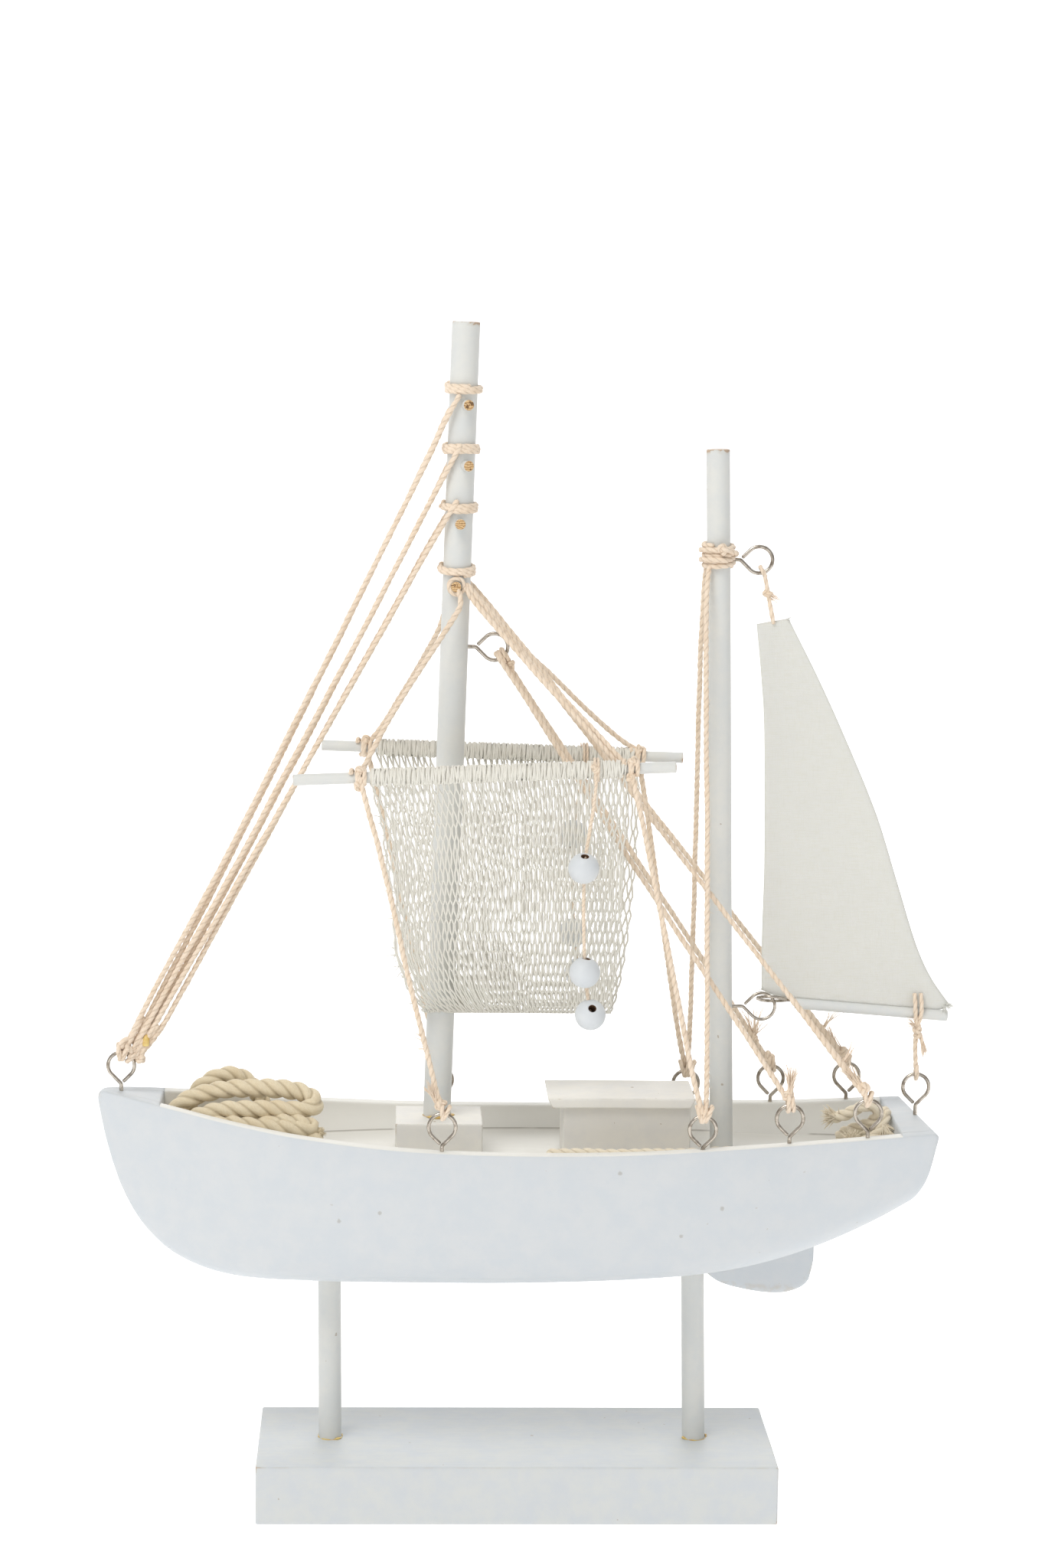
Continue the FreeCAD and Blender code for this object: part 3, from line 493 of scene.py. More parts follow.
@dataclass(frozen=True)
class Paint(Finish):
    """Brushed satin paint on wood: soft mottling, brush lines, dents, chips where it is worn."""

    name: str
    tone: Point = (233, 234, 233)
    cool: Point = (226, 230, 233)
    grain: Point = (0.12, 1.0, 1.0)
    seam_z: float = 0.0
    chips: float = 1.0
    dents: tuple[Point, ...] = ()

    def build(self) -> bpy.types.Material:
        """Tone and mottle first, then specks, the glue seam, painted light that makes the well's inside
        paler, dents and bare wood at worn edges.
        """
        tree = Tree(self.name)
        place = tree.place()
        along = tree.place(self.grain)
        mottle = tree.span(tree.noise(place, 120, 4, 0.65), 0.3, 0.7)
        base = tree.mix(mottle, colour(*self.tone), colour(*self.cool))
        brush = tree.noise(along, 900, 4, 0.6)
        streak = tree.noise(along, 220, 3, 0.55)
        base = tree.mix(tree.span(streak, 0.52, 0.72, 0, 0.25), base, colour(*self.cool))
        fine = tree.noise(place, 1500, 2)
        base = tree.mix(tree.span(fine, 0.70, 0.80, 0, 0.22), base, colour(196, 192, 184))
        fleck = tree.noise(place, 420, 1, 0.4)
        base = tree.mix(tree.span(fleck, 0.80, 0.82, 0, 0.8 * self.chips), base, colour(150, 128, 100))
        if self.seam_z:
            height = tree.add("SeparateXYZ", {0: place}).outputs[2]
            off = tree.math("ABSOLUTE", tree.math("SUBTRACT", height, self.seam_z))
            gaps = tree.span(tree.noise(tree.place((1, 1, 0.1)), 55, 3), 0.44, 0.56)
            wall = tree.span(tree.mark("inside"), 0.6, 0.95)
            line = tree.math("MULTIPLY", tree.span(off, 0.00012, 0.0004, 1, 0),
                             tree.math("MULTIPLY", gaps, wall))
            # painted light: the well's walls and deck (mark "inside") are mixed towards a paler, warmer
            # white than the outside, standing in for light inside the well
            base = tree.mix(tree.math("MULTIPLY", tree.mark("inside"), 0.85), base, colour(232, 230, 223))
            base = tree.mix(tree.math("MULTIPLY", line, 0.5), base, colour(128, 118, 106))
        rag = tree.math("MULTIPLY", tree.noise(place, 900, 2), 0.0012)
        for dent in self.dents:
            flat = tree.add("Mapping", {"Vector": place, "Scale": (1, 0, 1)}).outputs[0]
            away = tree.add("VectorMath", {0: flat, 1: tuple(v * MM for v in dent)},
                            operation="DISTANCE").outputs[1]
            near = tree.span(tree.math("ADD", away, rag), 0.0010, 0.0016, 0.55, 0)
            base = tree.mix(near, base, colour(160, 156, 148))
        worn = tree.math("MULTIPLY", tree.mark("wear"), tree.span(tree.noise(place, 260, 4, 0.6), 0.3, 0.7))
        dirty = tree.span(worn, 0.12, 0.5, 0, 0.4)
        base = tree.mix(dirty, base, colour(190, 180, 164))
        bare = tree.span(worn, 0.50, 0.58, 0, 0.9 * self.chips)
        wood = tree.mix(streak, colour(196, 156, 108), colour(139, 98, 62))
        base = tree.mix(bare, base, wood)
        rough = tree.span(brush, 0.2, 0.8, 0.42, 0.62)
        dents = tree.bump(tree.noise(place, 75, 2), 0.0009, 0.32)
        strokes = tree.bump(brush, 0.00006, 0.4, dents)
        flake = tree.bump(tree.math("SUBTRACT", 1.0, bare), 0.00012, 0.6, strokes)
        return tree.shade(Base_Color=base, Roughness=rough, Normal=flake, Specular_IOR_Level=0.42)


@dataclass(frozen=True)
class RawWood(Finish):
    """Sawn end grain: rings, pores and dark splits."""

    name: str
    light: Point = (222, 192, 146)
    dark: Point = (176, 136, 92)

    def build(self) -> bpy.types.Material:
        """Rings from a distorted wave, pores from fine noise."""
        tree = Tree(self.name)
        place = tree.place((1, 0.25, 1))
        rings = tree.add("TexWave", {"Vector": place, "Scale": 380.0, "Distortion": 6.0, "Detail": 3.0,
                                     "Detail Scale": 1.6}, wave_type="RINGS").outputs["Fac"]
        base = tree.mix(rings, colour(*self.light), colour(*self.dark))
        pores = tree.noise(place, 2600, 3)
        base = tree.mix(tree.span(pores, 0.55, 0.68, 0, 0.75), base, colour(92, 60, 36))
        split = tree.noise(tree.place((1, 1, 1), (0.4, 0.2, 0.7)), 520, 2)
        base = tree.mix(tree.span(split, 0.58, 0.64, 0, 0.8), base, colour(84, 54, 32))
        normal = tree.bump(tree.math("ADD", pores, tree.math("MULTIPLY", split, -1.5)), 0.0002, 0.6)
        return tree.shade(Base_Color=base, Roughness=0.8, Normal=normal, Specular_IOR_Level=0.3)


@dataclass(frozen=True)
class Wire(Finish):
    """Bright nickel-plated wire with drawing lines and dull spots."""

    name: str

    def build(self) -> bpy.types.Material:
        """Metal whose roughness follows fine and coarse noise."""
        tree = Tree(self.name)
        place = tree.place()
        cloud = tree.noise(place, 420, 3)
        fine = tree.noise(place, 4200, 2)
        base = tree.mix(tree.span(cloud, 0.4, 0.7), colour(190, 182, 171), colour(142, 132, 120))
        rough = tree.math("ADD", tree.span(cloud, 0.35, 0.75, 0.14, 0.34),
                          tree.span(fine, 0.3, 0.7, 0, 0.08))
        return tree.shade(Base_Color=base, Metallic=1.0, Roughness=rough,
                          Normal=tree.bump(fine, 0.00002, 0.35))


@dataclass(frozen=True)
class Yarn(Finish):
    """Twisted cotton: fibres that follow the strands, painted shade in the creases, a soft sheen."""

    name: str
    tone: Point = (236, 220, 201)
    shade_tone: Point = (221, 196, 166)
    fibre: float = 1.0
    stain: float = 0.35

    def build(self) -> bpy.types.Material:
        """Fibre streaks on the flow mark, painted shade in the creases from their own mark, slow change of
        tone.
        """
        tree = Tree(self.name)
        flow = tree.mark("flow", "Vector")
        place = tree.place()
        streaks = tree.noise(flow, 3.4 * self.fibre, 4, 0.65)
        slow = tree.noise(place, 130, 3)
        base = tree.mix(tree.span(streaks, 0.36, 0.68, 0, 0.55), colour(*self.tone),
                        colour(*self.shade_tone))
        base = tree.mix(tree.span(slow, 0.45, 0.72, 0, self.stain), base, colour(*self.shade_tone))
        # painted shade: where the groove mark is high the colour goes towards deep, the shade tone at 0.82,
        # for shade in the grooves between strands
        crease = tree.span(tree.mark("crease"), 0.15, 0.9, 0, 0.6)
        deep = tuple(channel * 0.82 for channel in self.shade_tone)
        base = tree.mix(crease, base, colour(*deep))
        fuzz = tree.bump(tree.noise(place, 2600, 3, 0.7), 0.00012, 0.55)
        normal = tree.bump(streaks, 0.00022, 0.6, fuzz)
        return tree.shade(Base_Color=base, Roughness=0.92, Normal=normal, Sheen_Weight=0.35,
                          Sheen_Roughness=0.5, Specular_IOR_Level=0.2)


@dataclass(frozen=True)
class Canvas(Finish):
    """Plain-weave canvas on the cloth's own mark: width and height in millimetres."""

    name: str
    tone: Point = (223, 223, 218)

    def build(self) -> bpy.types.Material:
        """Warp and weft as two crossing waves, slubs as stretched noise, painted shade in the valleys
        between weft threads.
        """
        tree = Tree(self.name)
        flow = tree.mark("flow", "Vector")
        axes = tree.add("SeparateXYZ", {0: flow}).outputs
        slub = tree.noise(tree.add("Mapping", {"Vector": flow, "Scale": (0.12, 1.6, 1)}).outputs[0], 1.7, 3)
        rib = tree.noise(tree.add("Mapping", {"Vector": flow, "Scale": (1.6, 0.12, 1)}).outputs[0], 1.5, 3)
        warp = tree.math("SINE", tree.math("MULTIPLY", axes[0], 2 * math.pi / 0.62))
        weft = tree.math("SINE", tree.math("MULTIPLY", axes[1], 2 * math.pi / 0.55))
        weave = tree.math("MULTIPLY", warp, weft)
        weft_line = tree.math("ABSOLUTE", weft)
        height = tree.math("ADD", tree.math("MULTIPLY", weave, 0.4), tree.math("ADD", slub, weft_line))
        base = tree.mix(tree.span(slub, 0.4, 0.7, 0, 0.5), colour(*self.tone), colour(218, 217, 205))
        base = tree.mix(tree.span(rib, 0.5, 0.75, 0, 0.25), base, colour(208, 206, 192))
        # painted shade: the valleys between weft threads, where the weft wave is near zero, are darkened
        # towards (190, 187, 172)
        base = tree.mix(tree.span(weft_line, 0.0, 0.45, 0.28, 0), base, colour(190, 187, 172))
        soft = tree.bump(tree.noise(tree.place(), 60, 2), 0.0008, 0.25)
        return tree.shade(Base_Color=base, Roughness=0.9, Normal=tree.bump(height, 0.00012, 0.6, soft),
                          Sheen_Weight=0.2, Sheen_Roughness=0.5, Specular_IOR_Level=0.2)


@dataclass(frozen=True)
class Glue(Finish):
    """Dried yellow glue: glossy, uneven, a little cloudy."""

    name: str

    def build(self) -> bpy.types.Material:
        """Two yellows mixed by noise under a thin gloss."""
        tree = Tree(self.name)
        cloud = tree.noise(tree.place(), 500, 3)
        base = tree.mix(tree.span(cloud, 0.35, 0.65), colour(226, 200, 122), colour(203, 164, 84))
        return tree.shade(Base_Color=base, Roughness=tree.span(cloud, 0.3, 0.7, 0.18, 0.4),
                          Normal=tree.bump(cloud, 0.0003, 0.5), Subsurface_Weight=0.15,
                          Subsurface_Radius=(0.002, 0.001, 0.0005), Coat_Weight=0.4)


@dataclass(frozen=True)
class Plain(Finish):
    """The studio's floor: matt, with the faintest mottle."""

    name: str

    def build(self) -> bpy.types.Material:
        """A near-white with slow noise in it."""
        tree = Tree(self.name)
        base = tree.mix(tree.noise(tree.place(), 3, 2), colour(252, 252, 252), colour(249, 249, 250))
        return tree.shade(Base_Color=base, Roughness=0.9, Specular_IOR_Level=0.1,
                          Emission_Color=(1.0, 1.0, 1.0, 1.0), Emission_Strength=0.42)


# the hull's paint also makes the well's walls and deck paler than the outside: painted light
HULL_PAINT = Paint("hull_paint", tone=(203, 206, 208), cool=(198, 203, 207), seam_z=0.12375, chips=0.3,
                   dents=((-48.1, 0, 110.8), (-61.9, 0, 107.2), (32.9, 0, 126.0), (68.0, 0, 113.1),
                          (54.4, 0, 103.2), (97.5, 0, 89.3)))
STAND_PAINT = Paint("stand_paint", tone=(203, 205, 203), cool=(197, 201, 204), chips=0.7)
SPAR_PAINT = Paint("spar_paint", tone=(212, 212, 207), cool=(206, 208, 206), grain=(1.0, 1.0, 0.1),
                   chips=0.7)
YARD_PAINT = Paint("yard_paint", tone=(214, 214, 209), cool=(208, 210, 209), chips=0.8)
CABIN_PAINT = Paint("cabin_paint", tone=(228, 225, 217), cool=(222, 220, 215), chips=0.8)
FLOAT_PAINT = Paint("float_paint", tone=(209, 212, 214), cool=(203, 207, 210), grain=(1, 1, 1), chips=0.2)
END_GRAIN = RawWood("end_grain")
# painted shade: the floats' bores take raw wood far darker than the end grain, for the shade inside the
# holes
SHADED_HOLE_WOOD = RawWood("hole_wood_painted_shade", light=(132, 100, 74), dark=(84, 62, 46))
NICKEL = Wire("nickel_wire")
CORD = Yarn("cotton_cord")
TAN_ROPE = Yarn("tan_rope", tone=(229, 217, 190), shade_tone=(206, 184, 144), fibre=1.6, stain=0.3)
CREAM_ROPE = Yarn("cream_rope", tone=(236, 227, 207), shade_tone=(221, 202, 170), fibre=1.6, stain=0.25)
NET_YARN = Yarn("net_yarn", tone=(229, 227, 218), shade_tone=(218, 213, 201), fibre=1.2, stain=0.25)
SAIL_CLOTH = Canvas("sail_canvas")
GLUE = Glue("dried_glue")


# ---- studio ------------------------------------------------------------------------------------
@dataclass
class Studio:
    """Pale sweep, soft lights and the camera."""

    camera_place: Point = (-45.0, -1159.5, 417.0)
    camera_yaw: float = 2.20
    camera_pitch: float = 8.04
    camera_roll: float = 0.81
    lens: float = 78.35
    floor_half: float = 4000.0
    floor_front: float = -4500.0
    wall_y: float = 3200.0
    wall_height: float = 3400.0
    corner: float = 1400.0

    def camera(self) -> None:
        """Camera from its place, yaw to the right, pitch down and roll, all in degrees."""
        yaw, pitch, roll = (math.radians(v) for v in (self.camera_yaw, self.camera_pitch, self.camera_roll))
        forward = np.array([math.sin(yaw) * math.cos(pitch), math.cos(yaw) * math.cos(pitch),
                            -math.sin(pitch)])
        level = np.array([math.cos(yaw), -math.sin(yaw), 0.0])
        above = np.cross(level, forward)
        right = math.cos(roll) * level + math.sin(roll) * above
        up = math.cos(roll) * above - math.sin(roll) * level
        data = bpy.data.cameras.new("camera")
        data.lens, data.sensor_width = self.lens, 36.0
        data.clip_start, data.clip_end = 0.01, 50.0
        camera = bpy.data.objects.new("camera", data)
        axes = Matrix(np.stack([right, up, -forward], 1).tolist()).to_4x4()
        camera.matrix_world = Matrix.Translation([v * MM for v in self.camera_place]) @ axes
        bpy.context.scene.collection.objects.link(camera)
        bpy.context.scene.camera = camera

    def sweep(self) -> None:
        """Floor that turns up into a wall: flat, a quarter circle, then upright."""
        turn = np.radians(np.linspace(0, 90, 16))
        y = np.concatenate([[self.floor_front], self.wall_y - self.corner + self.corner * np.sin(turn),
                            [self.wall_y]])
        z = np.concatenate([[0.0], self.corner * (1 - np.cos(turn)), [self.wall_height]])
        x = np.array([-self.floor_half, self.floor_half])
        points = np.stack(np.broadcast_arrays(x[None], y[:, None], z[:, None]), -1).reshape(-1, 3)
        mesh = bpy.data.meshes.new("backdrop")
        mesh.from_pydata((points * MM).tolist(), [],
                         grid_faces(len(y), 2, loop_columns=False)[:, ::-1].tolist())
        mesh.polygons.foreach_set("use_smooth", [True] * len(mesh.polygons))
        mesh.materials.append(Plain("backdrop").material())
        thing = bpy.data.objects.new("backdrop", mesh)
        bpy.context.scene.collection.objects.link(thing)

    def lamp(self, name: str, place: Point, size: float, power: float, tint: Point) -> None:
        """A square soft light that looks at the middle of the boat."""
        data = bpy.data.lights.new(name, "AREA")
        data.size, data.energy, data.color = size, power, tint
        lamp = bpy.data.objects.new(name, data)
        away = unit(np.array(place) - np.array([0.0, 0.0, 0.16]))
        side = unit(np.cross([0.0, 0.0, 1.0], away))
        axes = Matrix(np.stack([side, np.cross(away, side), away], 1).tolist()).to_4x4()
        lamp.matrix_world = Matrix.Translation(place) @ axes
        bpy.context.scene.collection.objects.link(lamp)

    def light(self) -> None:
        """A bright even world, a high key from the left and a weaker lamp behind."""
        world = bpy.data.worlds.new("studio")
        world.use_nodes = True
        sky = world.node_tree.nodes["Background"].inputs
        sky["Color"].default_value, sky["Strength"].default_value = (1.0, 1.0, 1.0, 1.0), 0.56
        bpy.context.scene.world = world
        bpy.context.scene.view_settings.view_transform = "Standard"
        self.lamp("key", (-0.8, -1.1, 2.15), 1.3, 30.0, (1.0, 0.99, 0.97))
        self.lamp("back", (0.4, 1.8, 1.9), 1.6, 9.0, (1.0, 0.98, 0.95))

    def build(self) -> None:
        """Everything that isn't the boat."""
        self.camera()
        self.sweep()
        self.light()


# ---- hull and its offsets ----------------------------------------------------------------------
@dataclass
class Hull:
    """The hull's lines, and the shell, fin and blocks made from them."""

    bow_x: float = -146.5
    length: float = 290.0
    half_beam: float = 39.5
    depth: float = 50.0
    keel_z: float = 82.0
    deck_z: float = 123.4
    rail: float = 5.5
    well: tuple[float, float] = (-123.8, 130.0)
    transom_x: float = 140.5
    rake: float = 10.0
    skew: float = 5.0
    flare: float = 0.10
    power: float = 5.0
    edge: float = 0.8
    lines: tuple[tuple[float, float, float, float], ...] = (
        (0.0017, 0.030, 0.268, 1.190), (0.0121, 0.100, 0.262, 0.910), (0.0293, 0.177, 0.252, 0.600),
        (0.0569, 0.284, 0.230, 0.326), (0.0983, 0.425, 0.196, 0.120), (0.1600, 0.605, 0.140, 0.004),
        (0.2466, 0.792, 0.074, -0.016), (0.3670, 0.942, 0.020, -0.008), (0.5050, 1.000, 0.002, 0.000),
        (0.6430, 0.986, 0.010, 0.026), (0.7466, 0.934, 0.038, 0.080), (0.8330, 0.851, 0.058, 0.200),
        (0.9190, 0.790, 0.088, 0.410), (1.0086, 0.719, 0.120, 0.710))

    def offsets(self, x: Array) -> tuple[Array, Array, Array]:
        """Half beam, sheer height and keel height at stations x, by the lines' cubic spans."""
        table = np.array(self.lines)
        share = (np.asarray(x, float) - self.bow_x) / self.length
        half, sheer, keel = (hermite(table[:, 0], table[:, k], share) for k in (1, 2, 3))
        top = self.keel_z + self.depth
        return self.half_beam * half, top + self.depth * sheer, self.keel_z + self.depth * keel

    def stations(self) -> tuple[Array, Array]:
        """Station of each row, and how far its inner part has dropped: 0 at the sheer, 1 at the deck."""
        fore, aft = self.well
        tip = self.bow_x + self.length * self.lines[0][0]
        turn = np.radians([0.0, 30.0, 60.0, 90.0])
        curl = self.edge * (1 - np.cos(turn)) / 10.0
        rows = [tip + np.array([0.0, 0.08, 0.3, 0.7, 1.3, 2.1, 3.0]), np.arange(tip + 5, fore - 2, 2.5),
                fore - self.edge + self.edge * np.sin(turn), [fore + 0.07],
                np.linspace(fore + 1, aft - 1, 84), [aft - 0.07],
                aft + self.edge - self.edge * np.sin(turn[::-1]),
                self.transom_x - np.array([8.5, 7, 5.5, 4.5, 3.4, 2.4, 1.6, 1.0, 0.5, 0.15, 0.0])]
        drop = [np.zeros(7), np.zeros(len(rows[1])), curl, [1.0], np.ones(84), [1.0], curl[::-1],
                np.zeros(11)]
        return np.concatenate(rows), np.concatenate(drop)

    @staticmethod
    def ease(distance: Array, radius: float) -> Array:
        """How far a rounded end draws in: R - sqrt(R^2 - (R - d)^2) within R of the end."""
        gap = np.clip(radius - distance, 0, radius)
        return radius - np.sqrt(np.maximum(radius**2 - gap**2, 0))

    def shell(self) -> Part:
        """The whole hull with its well as one grid of rows by outline points.

        A row's outline runs from the keel up the outside, y = half (1 - b^p)^(1/p) (1 - flare b) at
        height sheer - depth b with p the power, over the rounded rail, down the inside and along the
        deck to the centre, and the same on the other side. Rows aft of the well lean to the
        transom's plane.
        """
        x, drop = self.stations()
        tip, end = x[0], self.transom_x
        lean = np.clip((x - self.well[1] - 1.0) / (end - self.well[1] - 1.0), 0, 1)[:, None]
        sides = []
        turn = np.radians([0.0, 30.0, 60.0, 90.0])
        b = np.cos(np.radians(np.linspace(0, 88, 24)))**(2 / self.power)
        for sign in (1.0, -1.0):
            place = np.broadcast_to(x[:, None], (len(x), 1)).copy()
            for _ in range(3):
                half, sheer, keel = self.offsets(place)
                stern = np.maximum(end - x[:, None], 0)
                bow = np.maximum(place - tip, 0)
                sheer = sheer - self.ease(bow, 3.0) - self.ease(stern, 2.0)
                keel = keel + self.ease(bow, 0.5) + self.ease(stern, 4.5)
                half = np.maximum(half - self.ease(bow, 1.0) - self.ease(stern, 1.2), 0.15)
                depth = sheer - keel
                edge = np.minimum(self.edge, np.minimum(half, depth) * 0.4)
                inner = np.maximum(half - self.rail, half * 0.35)
                level = sheer - drop[:, None] * (sheer - self.deck_z)
                low = b[None]
                pick = (lambda v, k: v if v.shape[1] == 1 else v[:, k])
                cols = [slice(0, 24), slice(24, 28), slice(28, 32), slice(32, 40)]
                h, s, d, e = (pick(half, cols[0]), pick(sheer, cols[0]), pick(depth, cols[0]),
                              pick(edge, cols[0]))
                below = np.maximum(low, e / d)
                side_y = h * (1 - low**self.power)**(1 / self.power) * (1 - self.flare * low)
                side_z = s - d * below
                h, s, e = (pick(v, cols[1]) for v in (half, sheer, edge))
                rim_y, rim_z = h - e * (1 - np.cos(turn)), s - e * (1 - np.sin(turn))
                s, e, i, lv = (pick(v, cols[2]) for v in (sheer, edge, inner, level))
                lip = drop[:, None] > 0.5
                in_y = i + e * (1 - np.sin(turn))
                in_z = np.where(lip, s - e * (1 - np.cos(turn)), lv)
                i, lv = (pick(v, cols[3]) for v in (inner, level))
                share = np.array([1.0, 0.985, 0.93, 0.8, 0.6, 0.4, 0.2, 0.0])
                floor_y, floor_z = i * share, np.broadcast_to(lv, (len(x), 8)) + 0.0 * share
                y = np.concatenate([np.broadcast_to(v, (len(x), v.shape[1])) for v in
                                    (side_y, rim_y, in_y, floor_y)], 1)
                z = np.concatenate([np.broadcast_to(v, (len(x), v.shape[1])) for v in
                                    (side_z, rim_z, in_z, floor_z)], 1)
                z = np.maximum(z, np.broadcast_to(keel, z.shape))
                plane = end - sign * y * math.tan(math.radians(self.skew)) + (
                    z - self.offsets(np.array([end]))[1][0]) * math.tan(math.radians(self.rake))
                place = x[:, None] + lean * (plane - end)
            sides.append(np.stack([place, sign * y, z], -1))
        port, starboard = sides[1], sides[0]
        ring = np.concatenate([starboard, port[:, ::-1][:, 1:-1]], 1)
        rows, columns = ring.shape[:2]
        last = ring[-1]
        middle = last.mean(0)
        caps = [middle + (last - middle) * k for k in (0.97, 0.6, 0.2)]
        points = np.vstack([ring.reshape(-1, 3), *caps])
        faces = grid_faces(rows + len(caps), columns)[:, ::-1]
        ends = np.arange(columns)
        close = np.stack([ends, ends[::-1] + (rows + len(caps) - 1) * columns])
        gap = np.minimum(np.abs(points[:, 0] - tip), 60)
        wear = 0.75 * np.exp(-gap / 1.2)
        # mark "inside": the well's walls and deck, where the paint draws the seam and paints light as a
        # paler white
        inside = np.zeros((rows + len(caps), columns))
        inside[:rows, 26:columns - 25] = drop[:, None] > 0.5
        return Part(points, [faces, close], wear=wear, inside=inside.ravel())

    def fin(self, thickness: float = 5.0) -> Part:
        """The skeg: a rounded section between the hull's keel and a hanging curve."""
        x = np.concatenate([[65.75], np.linspace(66.2, 103.4, 40), [103.9]])
        share = (x - 65.0) / 39.0
        low = self.keel_z - 8.4 + hermite(np.array([0.0, 0.13, 0.31, 0.62, 0.82, 0.96, 1.0]),
                                          np.array([8.4, 4.4, 1.9, 0.0, 0.9, 4.8, 12.0]), share)
        high = np.maximum(self.offsets(x)[2] + 0.6, low + 0.4)
        angle = 2 * math.pi * (np.arange(24) + 0.5) / 24
        across = np.sign(np.cos(angle)) * np.abs(np.cos(angle))**0.35
        up = np.sign(np.sin(angle)) * np.abs(np.sin(angle))**0.35
        points = np.stack(np.broadcast_arrays(x[:, None], thickness / 2 * across[None],
                                              (low + high)[:, None] / 2 + (high - low)[:, None] / 2 * up),
                                              -1)
        ends = np.arange(24)
        caps = np.stack([ends[::-1], ends + (len(x) - 1) * 24])
        wear = np.broadcast_to((up < -0.5) * 0.5, (len(x), 24)).ravel()
        return Part(points.reshape(-1, 3), [grid_faces(len(x), 24), caps], wear=wear)

    def build(self) -> None:
        """Shell and fin."""
        shell = self.shell()
        shell.points[:, 1] += 0.10 * ball_noise(shell.points, 9.0, 3) * np.sign(shell.points[:, 1])
        Piece("hull_shell", shell).make([HULL_PAINT], "root", "hull_paint", "hull_body", "bulwark")
        Piece("skeg_fin", self.fin()).make([HULL_PAINT], "root", "hull_paint", "skeg")


# ---- stand and blocks --------------------------------------------------------------------------
def node_box(node: str) -> tuple[Array, Array]:
    """Lowest and highest corner of a CAD node, in millimetres."""
    low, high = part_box(node)
    return np.array(low) / MM, np.array(high) / MM


@dataclass
class Stand:
    """The block, its two dowels and their glue."""

    edge: float = 0.7
    post_diameter: float = 8.0
    feet: tuple[float, float] = (-64.9, 63.5)
    heads: tuple[float, float] = (-65.7, 61.3)
    seat: float = 12.0

    def build(self) -> None:
        """Block with knocked corners, then the posts."""
        low, high = node_box("stand_base")
        block = rounded_block(high - low, (low + high) / 2, self.edge, 5.0)
        block.points += 0.12 * ball_noise(block.points, 14.0,
                                          7)[:, None] * unit(block.points - (low + high) / 2)
        block.points[:, 2] = np.maximum(block.points[:, 2], 0.0)
        Piece("stand_block", block).make([STAND_PAINT], "root", "stand_paint", "stand_base")
        for name, foot, head in zip(("stand_post_fore", "stand_post_aft"), self.feet, self.heads):
            bottom, top = node_box(name)
            ends = np.array([[foot, 0, bottom[2] + 0.3], [head, 0, top[2] - 0.3]])
            rows, worn = dowel_profile(np.linalg.norm(ends[1] - ends[0]), self.post_diameter / 2, 0.5)
            Piece(name + "_dowel", turned(rows, ends[0], ends[1], 40, worn * 0)).make(
                [SPAR_PAINT], "root", "stand_paint", name)
            glue_at = np.array([foot, 0.0, high[2]])
            glue_ring(name + "_glue", glue_at, self.post_diameter / 2, (0, 0, 1), 1.0, 1.1,
                      3 if foot < 0 else 4)


def glue_ring(name: str, centre: Array, radius: float, axis: Point, height: float, width: float,
              seed: int) -> None:
    """A fillet of glue round a dowel: a flattened ring whose size follows noise round the joint.

    Args:
        name: Name of the piece.
        centre: Middle of the joint, on the surface that the dowel leaves.
        radius: Radius of the dowel.
        axis: Direction in which the dowel leaves.
        height: How far the glue climbs the dowel.
        width: How far it spreads on the surface.
        seed: Number that sets its shape.
    """
    angle = 2 * math.pi * np.arange(72) / 72
    unit_ring = np.stack([np.cos(angle), np.sin(angle), np.zeros(72)], 1)
    size = np.clip(0.55 + 1.5 * ball_noise(unit_ring * 5 + seed, 2.0, seed), 0.12, 1.2)
    section = np.radians([0, 45, 90, 135, 180, 225, 270, 315])
    out = radius - 0.05 + size[:, None] * width * (0.5 + 0.5 * np.cos(section))[None]
    up = -0.05 + size[:, None] * height * np.clip(0.45 + 0.55 * np.sin(section), 0, 1)[None]
    points = np.stack([out * np.cos(angle)[:, None], out * np.sin(angle)[:, None], up], -1).reshape(-1, 3)
    aim = unit(np.array(axis, float))
    side = unit(np.cross([0, 1, 0], aim))
    turn = np.stack([side, np.cross(aim, side), aim], 1)
    part = Part(points, [grid_faces(72, 8, loop_rows=True)[:, ::-1]]).moved(turn, centre)
    Piece(name, part).make([GLUE], "root", "cabin_paint")


@dataclass
class Blocks:
    """The mast step and the cabin with its roof."""

    edge: float = 0.5
    roof_bevel: float = 1.8

    def build(self) -> None:
        """Three rounded blocks; the roof's ends lean in by the bevel towards its underside."""
        for node, name in (("mast_step_block", "mast_step"), ("cabin_body", "cabin")):
            low, high = node_box(node)
            block = rounded_block(high - low, (low + high) / 2, self.edge, 3.0)
            block.points += 0.08 * ball_noise(block.points, 6.0,
                                              11)[:, None] * unit(block.points - (low + high) / 2)
            Piece(name, block).make([CABIN_PAINT], "root", "cabin_paint", node)
        low, high = node_box("cabin_roof")
        slab = rounded_block(high - low, (low + high) / 2, 0.6, 2.5)
        share = (high[2] - slab.points[:, 2]) / (high[2] - low[2])
        middle, half = (low[0] + high[0]) / 2, (high[0] - low[0]) / 2
        slab.points[:, 0] = middle + (slab.points[:, 0] - middle) * (1 - self.roof_bevel / half * share)
        slab.points[:, 2] += 0.15 * ball_noise(slab.points, 12.0, 5)
        Piece("cabin_roof_slab", slab).make([CABIN_PAINT], "root", "cabin_paint", "cabin_roof")


